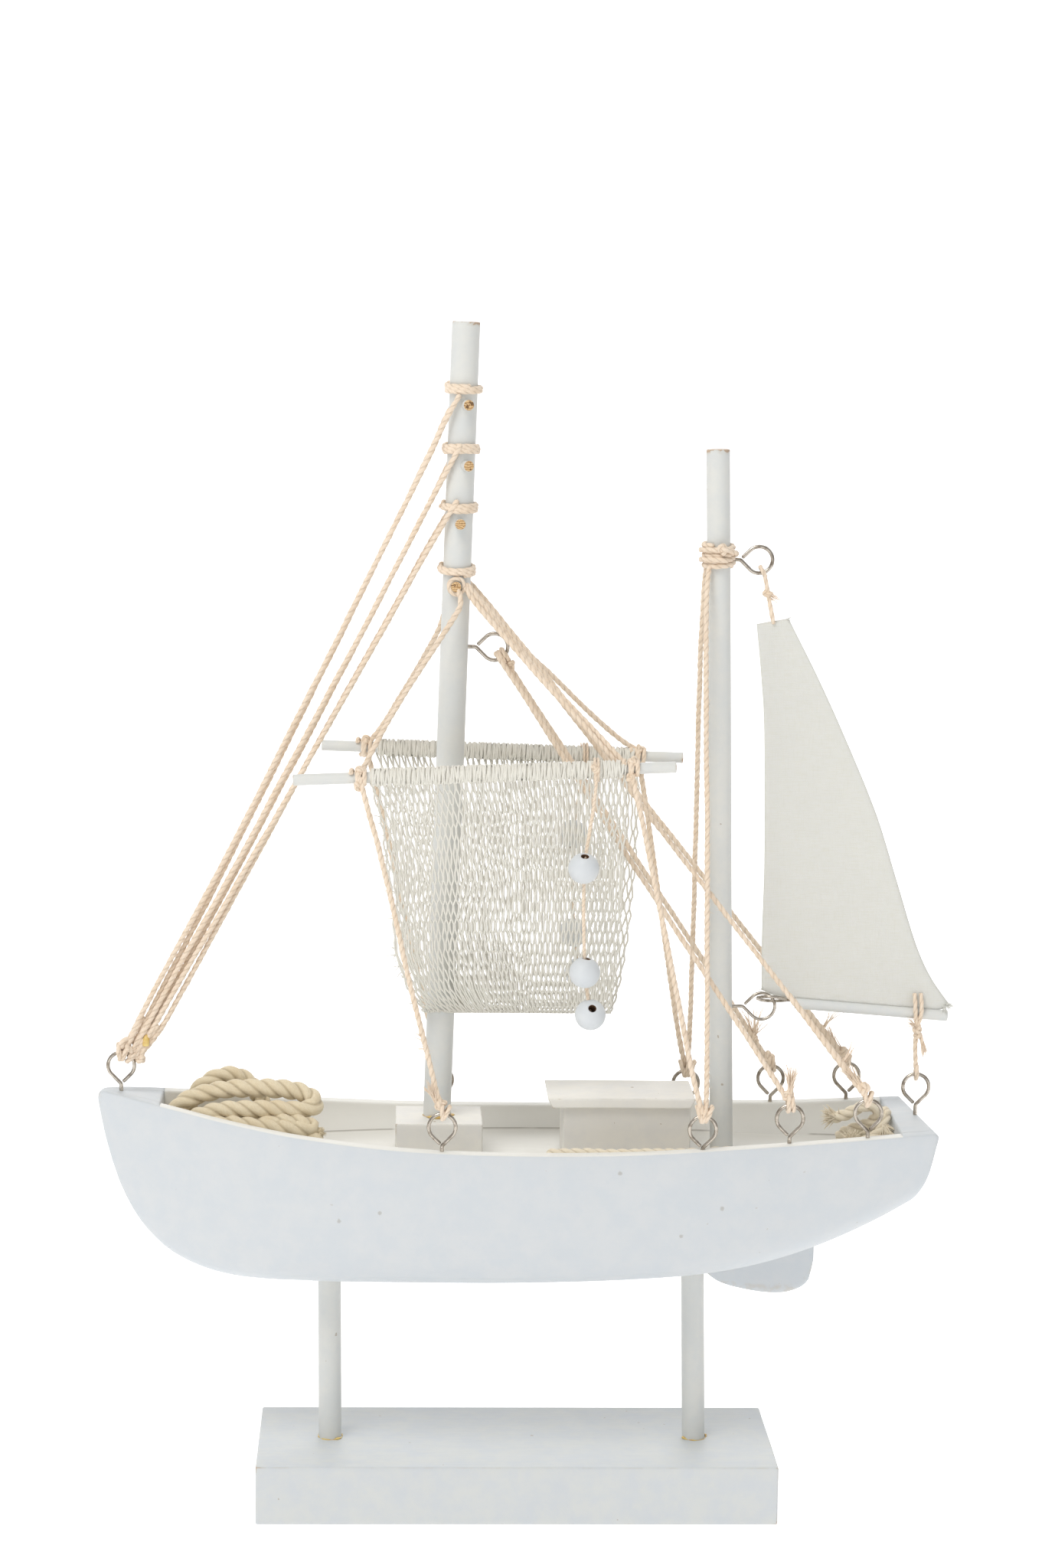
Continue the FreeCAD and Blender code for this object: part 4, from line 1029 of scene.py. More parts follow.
# ---- spars -------------------------------------------------------------------------------------
@dataclass
class Spars:
    """Masts, pegs and yards."""

    deck_z: float = 123.4
    seat: float = 12.0
    masts: tuple[tuple[str, float, float, float, float], ...] = (
        ("main_mast", 9.5, -21.6, 410.2, -29.0), ("mizzen_mast", 8.0, 64.4, 368.4, 70.9))
    peg_diameter: float = 3.6
    peg_length: float = 16.0
    peg_heights: tuple[float, ...] = (382.4, 362.0, 342.4, 321.3)
    peg_skews: tuple[float, ...] = (13.0, 19.0, 3.0, -2.0)
    yard_diameter: float = 3.8
    yards: tuple[tuple[str, Point, Point], ...] = (
        ("yard_port", (-78.2, -33.0, 258.4), (49.6, -33.0, 263.9)),
        ("yard_starboard", (-70.1, 33.0, 261.6), (57.4, 33.0, 258.3)))

    def mast_point(self, index: int, z: float | Array) -> Array:
        """Point on a mast's raked middle line at height z."""
        _, _, top_x, top_z, deck_x = self.masts[index]
        z = np.asarray(z, float)
        x = deck_x + (top_x - deck_x) * (z - self.deck_z) / (top_z - self.deck_z)
        return np.stack([x, np.zeros_like(x), z], -1)

    def yard_point(self, index: int, x: float | Array) -> Array:
        """Point on a yard's middle line at station x."""
        start, end = (np.array(p) for p in self.yards[index][1:])
        share = (np.asarray(x, float) - start[0]) / (end[0] - start[0])
        return start + share[..., None] * (end - start)

    def build(self) -> None:
        """Masts with worn tops, pegs with raw ends, yards."""
        for index, (name, diameter, _, top_z, _) in enumerate(self.masts):
            foot = self.mast_point(index, self.deck_z - self.seat + 0.3)
            top = self.mast_point(index, top_z)
            rows, worn = dowel_profile(np.linalg.norm(top - foot), diameter / 2, 0.45)
            worn = np.where(rows[:, 0] > rows[-1, 0] / 2, np.maximum(worn, 0) * 1.9, 0)
            part = turned(rows, foot, top, 48, worn)
            part.points += 0.05 * ball_noise(part.points, 16.0, 2)[:, None] * np.array([1.0, 1.0, 0.0])
            Piece(name + "_spar", part).make([SPAR_PAINT], "root", "spar_paint", name)
        pegs = Piece("mast_pegs_round")
        for height, skew in zip(self.peg_heights, self.peg_skews):
            middle, angle = self.mast_point(0, height), math.radians(skew)
            half = np.array([math.sin(angle), -math.cos(angle), 0]) * self.peg_length / 2
            rows, worn = dowel_profile(self.peg_length, self.peg_diameter / 2, 0.25, 2.0)
            pegs.add(turned(rows, middle - half, middle + half, 28, worn * 0.6, raw_rows=3))
        pegs.make([SPAR_PAINT, END_GRAIN], "root", "raw_peg_wood", "mast_pegs")
        for name, start, end in self.yards:
            start, end = np.array(start), np.array(end)
            rows, worn = dowel_profile(np.linalg.norm(end - start), self.yard_diameter / 2, 0.35, 5.0)
            part = turned(rows, start, end, 32, worn * 0.9, raw_rows=1)
            Piece(name + "_spar", part).make([YARD_PAINT, END_GRAIN], "root", "spar_paint", name)
        glue_ring("main_mast_glue", self.mast_point(0, self.deck_z + 13.2), 4.75, (0.03, 0, 1), 0.9, 1.6, 9)
        glue_ring("mizzen_mast_glue", self.mast_point(1, self.deck_z), 4.0, (-0.03, 0, 1), 0.8, 0.9, 12)


# ---- screw eyes --------------------------------------------------------------------------------
class Hand(Enum):
    """Which way a screw eye's wire turns as it leaves its neck."""

    LEFT = -1.0
    RIGHT = 1.0


@dataclass(frozen=True)
class ScrewEye:
    """One screw eye: a threaded shank, a neck, and a ring of wire that stops open at the neck."""

    base: Point
    up: Point
    rise: float
    hand: Hand = Hand.LEFT
    normal: Point = (0.0, 1.0, 0.0)
    wire: float = 1.3
    outer: float = 10.4
    seat: float = 4.6

    @property
    def centre(self) -> Array:
        """Middle of the ring."""
        return np.array(self.base) + unit(np.array(self.up)) * self.rise

    @property
    def radius(self) -> float:
        """Radius of the ring's middle line."""
        return (self.outer - self.wire) / 2

    def part(self) -> Part:
        """The wire: a path in the ring's plane, with a ridged shank.

        Along the shank the radius is r (1 + 0.14 w) where w is a triangle wave that also turns
        with the angle, which makes a thread.
        """
        r = self.radius
        angle = np.radians(np.linspace(46, 314, 48))
        ring = np.stack([r * np.sin(angle), self.rise - r * np.cos(angle)], 1)
        apex = self.rise - r * 1.40
        neck = bspline([(0.0, apex - 1.2), (0.0, apex - 0.5), (0.12, apex + 0.05), (1.2, apex + 1.15),
                        tuple(ring[1])], 8)
        tail = bspline([tuple(ring[-2]), (-1.5, apex + 1.4), (-0.9, apex + 0.85)], 6)
        shank = np.stack([np.zeros(30), np.linspace(-self.seat, apex - 1.3, 30)], 1)
        flat = resample(np.vstack([shank, neck, ring[2:-2], tail]), 0.22)
        flat[:, 0] *= -self.hand.value
        up = unit(np.array(self.up, float))
        across = unit(np.cross(up, np.array(self.normal, float)))
        path = np.array(self.base) + flat[:, :1] * across + flat[:, 1:] * up
        part = sweep(path, self.wire / 2, 14, blunt=True)
        s = run_lengths(path)
        rows = len(part.points) // 14
        row = np.clip(np.arange(rows) - 3, 0, len(path) - 1)
        turn = np.arange(14) / 14
        phase = (s[row][:, None] / 0.55 + turn[None]) % 1.0
        ridge = (1 - np.abs(2 * phase - 1)) * np.clip((self.seat + 1.3 - s[row]) * 2, 0, 1)[:, None]
        middle = path[row][:, None]
        grid = part.points.reshape(rows, 14, 3)
        part.points = (middle + (grid - middle) * (1 + 0.14 * ridge[..., None])).reshape(-1, 3)
        return part


@dataclass
class Eyes:
    """All the screw eyes, from the rail's lines and the masts."""

    hull: Hull
    spars: Spars
    rail: tuple[tuple[str, float, float | None, float], ...] = (
        ("bow_screw_eye", -138.0, None, 9.0), ("fore_screw_eyes", -27.3, 3.0, 8.4),
        ("shroud_screw_eyes", 61.0, 2.9, 6.9), ("aft_screw_eyes", 91.0, 3.6, 8.6),
        ("aft_screw_eyes", 118.0, 2.8, 8.6), ("stern_screw_eye", 138.5, None, 10.0))
    mast: tuple[tuple[str, int, float, float], ...] = (
        ("mast_screw_eye", 0, 300.3, 9.0), ("head_screw_eye", 1, 331.0, 9.9),
        ("gooseneck_screw_eye", 1, 175.9, 10.2))
    boom_base: Point = (95.4, 0.0, 178.0)
    boom_centre: Point = (86.9, 0.0, 178.5)
    boom_tilt: float = 20.0
    linked_wire: float = 1.1

    def places(self) -> dict[str, list[ScrewEye]]:
        """Every eye under its node's name; of a pair, port comes first."""
        found: dict[str, list[ScrewEye]] = {}
        for node, x, inset, rise in self.rail:
            half, sheer, _ = (float(v) for v in self.hull.offsets(np.array(x)))
            sides = (0.0,) if inset is None else (-(half - inset), half - inset)
            hand = Hand.LEFT if node == "bow_screw_eye" or x == 118.0 else Hand.RIGHT
            found.setdefault(node, []).extend(ScrewEye((x, y, sheer), (0, 0, 1), rise, hand) for y in sides)
        for node, index, z, rise in self.mast:
            base = self.spars.mast_point(index, z) + np.array([self.spars.masts[index][1] / 2, 0, 0])
            wire = self.linked_wire if node == "gooseneck_screw_eye" else 1.3
            found[node] = [ScrewEye(tuple(base), (1, 0, 0), rise, Hand.RIGHT, wire=wire)]
        base, centre = np.array(self.boom_base), np.array(self.boom_centre)
        tilt = math.radians(self.boom_tilt)
        found["boom_screw_eye"] = [ScrewEye(self.boom_base, tuple(centre - base),
                                            float(np.linalg.norm(centre - base)),
                                            Hand.LEFT, (0.0, math.sin(tilt), math.cos(tilt)),
                                            self.linked_wire)]
        return found

    def build(self) -> None:
        """One piece for each node."""
        for node, eyes in self.places().items():
            piece = Piece(node + "_wire", *[eye.part() for eye in eyes])
            piece.make([NICKEL], "boom_set" if node == "boom_screw_eye" else "root", "nickel_wire", node)


# ---- cord work ---------------------------------------------------------------------------------
def cord_part(line: Array, radius: float, lobes: int = 2, depth: float = 0.26, lay: float = 3.0,
              seed: int = 1, sides: int = 14, swell: float = 0.0, loop: bool = False) -> Part:
    """A laid cord along a line, uneven as hand-twisted cotton is.

    The radius is R (1 + 0.112 noise), growing by the swell over the last quarter of the line.

    Args:
        line: Evenly spaced points along the cord.
        radius: Radius over the strands.
        lobes: Number of strands.
        depth: Depth of the grooves as a share of the radius.
        lay: Distance along the cord from one strand to the next.
        seed: Number that sets its unevenness.
        sides: Points round the cord.
        swell: Share by which the far end is thicker, where its fibres come loose.
        loop: Whether the line closes on itself.

    Returns:
        The closed surface.
    """
    s = run_lengths(line)
    share = s / s[-1]
    uneven = 1 + 0.112 * ball_noise(np.stack([s, s * 0.3, s * 0], 1), 2.2, seed)
    if loop:
        lay = s[-1] / max(lobes, round(s[-1] / lay))
    return sweep(line, radius * uneven * (1 + swell * np.clip(share * 4 - 3, 0, 1)), sides, lobes, depth,
                 lay, loop)


def fibres(roots: Array, aims: Array, lengths: Array, radius: float, seed: int, curl: float = 0.35,
           sides: int = 3, rings: int = 5) -> Part:
    """Loose fibres as one part: each bends along root + aim t L + curl n t^2 L and tapers to its tip.

    Args:
        roots: Where each fibre starts.
        aims: Direction of each.
        lengths: Length of each.
        radius: Radius at the root.
        seed: Number that sets their curls.
        curl: How far a tip leaves its aim, as a share of the length.
        sides: Points round a fibre.
        rings: Rings along a fibre.

    Returns:
        The closed surfaces.
    """
    random = np.random.default_rng(seed)
    count = len(roots)
    aims = unit(aims)
    sway = np.cross(aims, unit(random.normal(size=(count, 3))))
    t = np.linspace(0, 1, rings)[None, :, None]
    size = lengths[:, None, None]
    bend = curl * random.uniform(0.3, 1.3, (count, 1, 1))
    line = roots[:, None] + aims[:, None] * t * size + sway[:, None] * t**2 * size * bend
    tangent = unit(np.gradient(line, axis=1))
    normal = unit(np.cross(tangent, np.cross(sway, aims)[:, None] + 0.01))
    binormal = np.cross(tangent, normal)
    angle = 2 * math.pi * np.arange(sides) / sides
    reach = radius * (1 - 0.75 * t)[..., None]
    ring = np.cos(angle)[:, None] * normal[:, :, None] + np.sin(angle)[:, None] * binormal[:, :, None]
    points = (line[:, :, None] + reach * ring).reshape(-1, 3)
    quads = grid_faces(rings, sides)
    ends = np.arange(sides)
    caps = np.stack([ends[::-1], ends + (rings - 1) * sides])
    shift = (np.arange(count) * rings * sides)[:, None, None]
    flow = np.stack(np.broadcast_arrays(t[..., None] * size[..., None],
                                        random.uniform(0, 9, (count, 1, 1, 1)),
                                        np.zeros((count, rings, sides, 1))), -1)
    return Part(points, [(quads[None] + shift).reshape(-1, 4), (caps[None] + shift).reshape(-1, sides)],
                flow=flow.reshape(-1, 3))


def fuzz(line: Array, radius: float, per_mm: float, seed: int, longest: float = 2.2) -> Part:
    """Fine hairs that stand off a cord: each starts on its surface and leans along it and outwards."""
    random = np.random.default_rng(seed)
    s = run_lengths(line)
    count = max(4, int(s[-1] * per_mm))
    pick = random.integers(1, len(line) - 1, count)
    tangent, normal, binormal = cross_axes(line)
    angle = random.uniform(0, 2 * math.pi, (count, 1))
    out = np.cos(angle) * normal[pick] + np.sin(angle) * binormal[pick]
    aim = (out * random.uniform(0.25, 1.0, (count, 1))
           + tangent[pick] * random.choice([-1.0, 1.0], (count, 1)))
    return fibres(line[pick] + out * radius * 0.85, aim, random.uniform(0.5, longest, count), 0.055, seed,
                  0.6, 3, 4)


def brush(root: Point, aim: Point, length: float, count: int, spread: float, seed: int,
          radius: float = 0.22) -> Part:
    """A frayed cord end: fibres that start close together and open out round an aim."""
    random = np.random.default_rng(seed)
    aims = unit(np.array(aim, float)) + random.normal(size=(count, 3)) * spread
    roots = np.array(root) + random.normal(size=(count, 3)) * 0.4
    return fibres(roots, aims, length * random.uniform(0.55, 1.1, count), radius, seed, 0.3, 5, 7)


def knot(centre: Point, size: float, radius: float, seed: int, stretch: Point = (1, 1, 1)) -> Part:
    """An overhand knot pulled tight: the curve (sin t + 2 sin 2t, cos t - 2 cos 2t, -sin 3t) as a cord.

    Args:
        centre: Middle of the knot.
        size: Half its width.
        radius: Radius of its cord.
        seed: Number that turns it.
        stretch: Scale along X, Y and Z.

    Returns:
        The closed surface.
    """
    t = 2 * math.pi * np.arange(140) / 140
    curve = np.stack([np.sin(t) + 2 * np.sin(2 * t), np.cos(t) - 2 * np.cos(2 * t), -1.3 * np.sin(3 * t)], 1)
    random = np.random.default_rng(seed)
    turn, _ = np.linalg.qr(random.normal(size=(3, 3)))
    turn *= np.sign(np.linalg.det(turn))
    line = (curve @ turn.T) * (size - radius) / 3.0 * np.array(stretch) + np.array(centre)
    return cord_part(line, radius, seed=seed, loop=True, sides=12)


def ring_loop(centre: Point, axis: Point, wide: float, tall: float, radius: float, seed: int,
              lean: float = 0.0) -> Part:
    """A loop of cord round a wire or spar: an ellipse about an axis, drawn out upwards."""
    t = 2 * math.pi * np.arange(64) / 64
    aim = unit(np.array(axis, float))
    up = unit(np.array([0.0, 0.02, 1.0]) - aim * aim[2])
    side = np.cross(aim, up)
    line = (np.array(centre) + np.cos(t)[:, None] * wide * side + np.sin(t)[:, None] * tall * up
            + np.sin(t)[:, None] * lean * aim)
    return cord_part(line, radius, seed=seed, loop=True, sides=12)


def helix(centre: Array, axis: Array, radius: float, turns: float, rise: float, start: float,
          slant: float = 0.0) -> Array:
    """Points winding round an axis: centre + r (cos, sin) + axis (rise share - slant cos)."""
    t = np.linspace(0, 1, int(turns * 40))
    angle = start + 2 * math.pi * turns * t
    aim = unit(np.array(axis, float))
    side = unit(np.array([1.0, 0, 0]) - aim * aim[0]) if abs(aim[0]) < 0.9 else unit(
        np.array([0, 1.0, 0]) - aim * aim[1])
    other = np.cross(aim, side)
    lift = rise * (t - 0.5) + slant * np.sin(angle)
    return (np.array(centre) + radius * np.cos(angle)[:, None] * side
            + radius * np.sin(angle)[:, None] * other + lift[:, None] * aim)


@dataclass(frozen=True)
class Line:
    """Tight strands that stand for one CAD node, with the points that each goes through."""

    node: str
    routes: tuple[tuple[Point, ...], ...]
    radius: float = 0.98
    swell: float = 0.0
    per_mm: float = 0.9


@dataclass
class Rigging:
    """Stays, slings, guys and shrouds, their lashings, hitches and ties."""

    spars: Spars
    eyes: dict[str, list[ScrewEye]]
    spacing: float = 0.62
    lines: tuple[Line, ...] = (
        Line("forestay_upper", (
            ((-23.8, -6.2, 385.4), (-26.8, -5.7, 380.4), (-33.0, -2.0, 366.4), (-57.2, -1.1, 316.6),
             (-83.8, -1.0, 263.3), (-101.8, -0.9, 226.8), (-127.6, -0.8, 178.6), (-135.4, -0.5, 162.6)),
            ((-23.8, 6.2, 385.2), (-27.2, 5.7, 380.0), (-33.4, 2.2, 365.8), (-57.4, 1.2, 315.6),
             (-83.4, 1.1, 262.0), (-101.0, 1.0, 225.8), (-125.0, 1.0, 178.4), (-133.6, 0.7, 161.2)))),
        Line("forestay_middle", (
            ((-23.2, -6.2, 368.8), (-25.8, -5.7, 364.0), (-32.3, -2.0, 351.0), (-57.7, -1.1, 301.6),
             (-80.0, -1.1, 259.6), (-96.8, -1.0, 227.2), (-123.8, -0.8, 178.4), (-132.8, -0.7, 160.6)),
            ((-23.2, 6.2, 368.6), (-26.2, 5.7, 363.6), (-32.6, 2.2, 350.4), (-57.8, 1.2, 300.6),
             (-79.6, 1.2, 258.4), (-96.2, 1.1, 226.2), (-121.8, 1.0, 178.3), (-131.6, 0.7, 159.8)))),
        Line("forestay_lower", (
            ((-24.2, -6.1, 350.0), (-26.6, -5.6, 346.2), (-34.6, -2.0, 331.8), (-58.9, -1.1, 287.5),
             (-74.2, -1.0, 260.2), (-93.2, -0.9, 226.4), (-120.6, -0.8, 178.5), (-131.0, -0.6, 159.6)),
            ((-24.2, 6.1, 350.0), (-27.0, 5.6, 345.8), (-34.6, 2.2, 332.4), (-58.6, 1.2, 288.8),
             (-72.6, 1.1, 263.0), (-90.4, 0.9, 229.4), (-117.4, 0.5, 178.8), (-125.6, 0.2, 164.0),
             (-130.2, 0.0, 158.8)))),
        Line("sling_port_fore", (
            ((-23.4, -7.2, 320.2), (-21.8, -7.8, 316.0), (-24.8, -10.6, 311.0), (-30.5, -15.3, 302.6),
             (-39.0, -20.2, 289.9), (-47.5, -25.6, 276.6), (-53.6, -30.8, 264.8), (-56.2, -33.8, 260.0)),)),
        Line("sling_starboard_fore", (
            ((-26.2, 5.6, 318.6), (-27.6, 7.6, 311.4), (-30.2, 10.8, 303.4), (-37.6, 19.6, 289.3),
             (-46.3, 27.4, 273.4), (-52.6, 32.2, 263.6), (-54.8, 33.4, 261.4)),)),
        Line("sling_port_aft", (
            ((-20.8, -6.6, 320.6), (-18.6, -7.0, 316.6), (-3.2, -13.2, 299.8), (15.4, -21.4, 280.0),
             (25.2, -27.0, 269.8), (33.4, -32.8, 261.4)),
            ((-20.0, -5.9, 321.4), (-17.4, -6.2, 317.8), (0.6, -10.6, 295.9), (20.2, -21.6, 277.2),
             (29.6, -29.2, 267.4), (34.6, -33.0, 263.0)))),
        Line("sling_starboard_aft", (
            ((-21.4, 5.2, 323.0), (-18.4, 6.4, 319.8), (-5.0, 12.2, 302.6), (8.2, 19.0, 290.2),
             (22.9, 26.0, 275.7), (36.6, 32.4, 263.0), (41.0, 33.2, 261.2)),)),
        Line("backstay_port", (
            ((-20.4, -5.4, 321.8), (-16.6, -5.4, 318.6), (44.4, -15.2, 242.2), (105.8, -26.6, 165.2),
             (115.8, -28.7, 152.6)),), 0.92, 0.5, 1.6),
        Line("backstay_starboard", (
            ((-20.4, 5.4, 322.6), (-16.4, 5.2, 319.8), (44.4, 15.0, 243.2), (105.8, 26.6, 165.6),
             (115.8, 28.7, 152.6)),), 0.92, 0.5, 1.6),
        Line("quarter_stay_port", (
            ((-10.2, -0.9, 298.2), (-8.2, -1.4, 295.4), (2.4, -5.2, 279.9), (13.2, -9.5, 263.2),
             (38.0, -16.0, 226.4), (82.0, -28.4, 162.2), (89.4, -30.2, 150.6)),)),
        Line("quarter_stay_starboard", (
            ((-7.4, 0.9, 296.4), (-4.4, 1.8, 291.6), (37.8, 14.8, 228.6), (82.0, 28.4, 162.2),
             (89.4, 30.2, 150.6)),)),
        Line("guy_port_fore", (
            ((-55.6, -35.4, 259.4), (-54.9, -35.9, 254.1), (-48.9, -35.8, 234.8), (-43.6, -35.7, 211.5),
             (-38.0, -35.7, 187.2), (-33.2, -35.8, 168.2), (-27.6, -36.0, 147.2)),)),
        Line("guy_starboard_fore", (
            ((-54.2, 35.3, 260.2), (-53.2, 35.6, 255.6), (-46.6, 35.6, 230.0), (-39.0, 35.7, 194.0),
             (-30.8, 35.8, 160.0), (-27.4, 36.0, 147.2)),)),
        Line("guy_port_aft", (
            ((34.8, -35.3, 261.6), (35.8, -35.6, 257.4), (44.6, -35.4, 218.0), (52.6, -35.3, 180.2),
             (58.6, -35.6, 151.8), (60.6, -36.0, 146.4)),)),
        Line("guy_starboard_aft", (
            ((41.8, 35.3, 258.0), (42.8, 35.6, 253.0), (49.0, 35.4, 214.6), (55.0, 35.3, 176.0),
             (59.4, 35.6, 150.6), (60.8, 36.0, 146.4)),)),
        Line("mizzen_shroud_port", (
            ((61.8, -4.4, 328.6), (60.4, -5.8, 321.0), (61.8, -19.8, 237.4), (62.2, -33.2, 157.6),
             (61.8, -35.8, 146.6)),), 0.95),
        Line("mizzen_shroud_starboard", (
            ((61.8, 4.4, 328.6), (60.4, 5.8, 321.0), (61.4, 19.6, 238.4), (62.0, 33.2, 157.8),
             (61.6, 35.8, 146.6)),), 0.95),
    )

    def stays(self) -> list[Part]:
        """Every tight strand as a cord; gives back the hairs of all of them."""
        hairs = []
        for number, line in enumerate(self.lines):
            for index, route in enumerate(line.routes):
                path = nurbs_line(route, self.spacing)
                seed = 100 + number * 3 + index
                s = run_lengths(path)
                wander = np.stack([ball_noise(np.stack([s, s * 0, s * 0], 1), 7.0, seed + k)
                                   for k in (0, 40, 80)], 1)
                eased = np.minimum(1, np.minimum(s, s[-1] - s) / 8)[:, None]
                path = path + 0.22 * wander * eased
                part = cord_part(path, line.radius, seed=seed, swell=line.swell, lay=2.9)
                name = f"{line.node}_cord_{index + 1}"
                thing = Piece(name, part).make([CORD], "root", "cotton_cord", line.node)
                hairs.append(fuzz(path, line.radius, line.per_mm, seed))
        return hairs

    def lashings(self) -> None:
        """Two turns and a bit round the mast over each peg, and a broad one on the mizzen."""
        wraps = Piece("mast_lashing_turns")
        for index, height in enumerate(self.spars.peg_heights):
            centre = self.spars.mast_point(0, height + 5.4)
            slant = (0.25, -0.3, 0.2, 0.75)[index]
            path = helix(centre, (0.026, 0, 1), 4.75 + 0.85, 2.45, 2.1, 2.2 + index, slant)
            wraps.add(cord_part(resample(path, 0.6), 0.92, seed=40 + index))
            wraps.add(knot(tuple(centre + np.array([-5.0, 2.2, 0.4])), 2.2, 0.8, 50 + index))
        peg = self.spars.mast_point(0, self.spars.peg_heights[3])
        path = helix(peg + np.array([0, -6.0, 0]), (0.03, -1, 0), 1.8 + 0.8, 1.6, 1.7, 1.2)
        wraps.add(cord_part(resample(path, 0.6), 0.85, seed=61))
        wraps.make([CORD], "root", "cotton_cord", "mast_lashings")
        centre = self.spars.mast_point(1, 332.4)
        path = helix(centre, (-0.026, 0, 1), 4.0 + 0.9, 4.6, 8.0, 0.4, 0.5)
        broad = Piece("mizzen_lashing_turns", cord_part(resample(path, 0.6), 1.02, seed=71))
        broad.add(cord_part(resample(helix(centre, (-0.026, 0.05, 1), 6.1, 1.4, -4.6, 2.6, -0.7), 0.6), 0.9,
                            seed=72))
        broad.add(knot(tuple(centre + np.array([1.0, -6.6, 2.4])), 2.4, 0.85, 73))
        broad.make([CORD], "root", "cotton_cord", "mizzen_lashing")

    def hitches(self) -> None:
        """Crossed turns round each yard where its sling and guy are made fast."""
        piece = Piece("yard_hitches")
        for number, (index, x) in enumerate(((0, -56.3), (0, 34.6), (1, -55.0), (1, 41.5))):
            centre, ends = self.spars.yard_point(index, x), self.spars.yards[index]
            axis = np.array(ends[2]) - np.array(ends[1])
            for side in (1.0, -1.0):
                path = helix(centre + unit(axis) * side * 0.7, axis, 2.75, 1.5, side * 2.9, 0.8 * side,
                             0.5 * side)
                piece.add(cord_part(resample(path, 0.5), 0.82, seed=200 + number, sides=12))
            piece.add(knot(tuple(centre + np.array([0.4, -1.4, 2.6])), 2.0, 0.75, 210 + number))
            piece.add(knot(tuple(centre + np.array([-0.4, -2.4 if index == 0 else 2.4, -2.6])), 1.9, 0.72,
                           220 + number))
        piece.make([CORD], "root", "cotton_cord", "yard_knots")

    def ties(self) -> None:
        """Loops, knots and frayed ends at the screw eyes."""
        ring = 4.55

        def top(node: str, index: int) -> Array:
            eye = self.eyes[node][index]
            return eye.centre + np.array([0.0, 0.0, ring])

        for index, name in enumerate(("port", "starboard")):
            near = index == 0
            crown = top("fore_screw_eyes", index)
            tie = Piece("fore_tie_" + name,
                        ring_loop(tuple(crown + [0, 0, 0.6]), (1, 0, 0.05), 1.55, 2.4, 0.85, 300))
            tie.add(ring_loop(tuple(crown + [1.5, 0, 0.5]), (1, 0, -0.2), 1.5, 2.2, 0.8, 301, 0.6))
            tie.add(knot(tuple(crown + [-0.6, 0, 3.4]), 2.5, 0.85, 302 + index))
            tie.add(brush(tuple(crown + [-1.8, -0.8, 4.0]), (-0.42, -0.1, 1.0), 8.5, 46, 0.13, 303, 0.2))
            if near:
                tie.add(brush((-34.2, -35.8, 171.0), (-1.0, -0.2, 0.75), 4.6, 4, 0.16, 305, 0.16))
                tie.add(brush((-33.2, -35.8, 168.0), (-1.0, -0.1, 0.1), 6.2, 3, 0.12, 306, 0.14))
            tie.make([CORD], "root", "cotton_cord")
            crown = top("shroud_screw_eyes", index)
            tie = Piece("shroud_tie_" + name)
            for shift, lean in ((-1.3, -0.4), (0.4, 0.3), (1.9, 0.5)):
                tie.add(ring_loop(tuple(crown + [shift, 0, 0.8]), (1, 0, -0.12 * shift), 1.5, 2.7, 0.85, 310,
                                  lean))
            tie.make([CORD], "root", "cotton_cord")
            crown = top("aft_screw_eyes", index)
            tie = Piece("quarter_tie_" + name,
                        ring_loop(tuple(crown + [-0.6, 0, 0.6]), (1, 0, 0), 1.6, 2.6, 0.9, 320))
            tie.add(ring_loop(tuple(crown + [0.9, 0, 0.5]), (1, 0, 0.3), 1.5, 2.3, 0.8, 321, 0.4))
            tie.add(knot(tuple(crown + [-0.8, 0, 3.2]), 2.5, 0.9, 322 + index))
            if near:
                tie.add(brush(tuple(crown + [-0.4, -0.6, 3.8]), (0.08, 0.0, 1.0), 10.0, 60, 0.09, 324, 0.22))
            else:
                tie.add(brush((84.6, 29.4, 158.6), (-0.1, 0.1, 1.0), 10.5, 22, 0.26, 325, 0.24))
                tie.add(knot((84.8, 29.3, 157.6), 1.9, 0.7, 326))
            tie.make([CORD], "root", "cotton_cord")
            crown = top("aft_screw_eyes", index + 2)
            tie = Piece("back_tie_" + name,
                        ring_loop(tuple(crown + [-1.0, 0, 0.6]), (1, 0, 0.2), 1.6, 2.6, 0.9, 330))
            tie.add(ring_loop(tuple(crown + [0.4, 0, 0.4]), (1, 0, -0.1), 1.5, 2.3, 0.85, 331, 0.4))
            tie.add(knot(tuple(crown + [-1.8, 0, 4.0]), 2.9, 1.0, 332 + index))
            side = -1.0 if near else 1.0
            tie.add(brush(tuple(crown + [-3.0, 0, 5.0]), (-0.72, 0.0, 0.86), 8.5, 70, 0.11, 334 + index,
                          0.24))
            tie.add(brush((109.4, side * 27.4, 162.6), (0.55, 0.0, 0.75), 8.5, 7, 0.24, 336 + index, 0.24))
            tie.make([CORD], "root", "cotton_cord")
        bow = self.eyes["bow_screw_eye"][0].centre
        tie = Piece("bow_tie", knot((-136.4, -0.4, 160.4), 3.5, 1.05, 340, (0.95, 1, 1.15)))
        tie.add(knot((-134.6, 0.2, 158.2), 2.6, 0.95, 341)).add(knot((-131.6, 0.0, 156.0), 2.5, 0.9, 342))
        tie.add(knot((-124.4, 0.3, 166.6), 1.3, 0.6, 343))
        tie.add(ring_loop(tuple(bow + [-0.6, 0, 4.8]), (1, 0, 0.1), 1.7, 2.6, 0.95, 344))
        tie.add(ring_loop(tuple(bow + [1.4, 0, 4.4]), (1, 0, -0.4), 1.7, 2.4, 0.95, 345))
        tie.add(ring_loop(tuple(bow + [3.6, 0, 2.9]), (0.7, 0, -0.7), 1.6, 2.2, 0.9, 346))
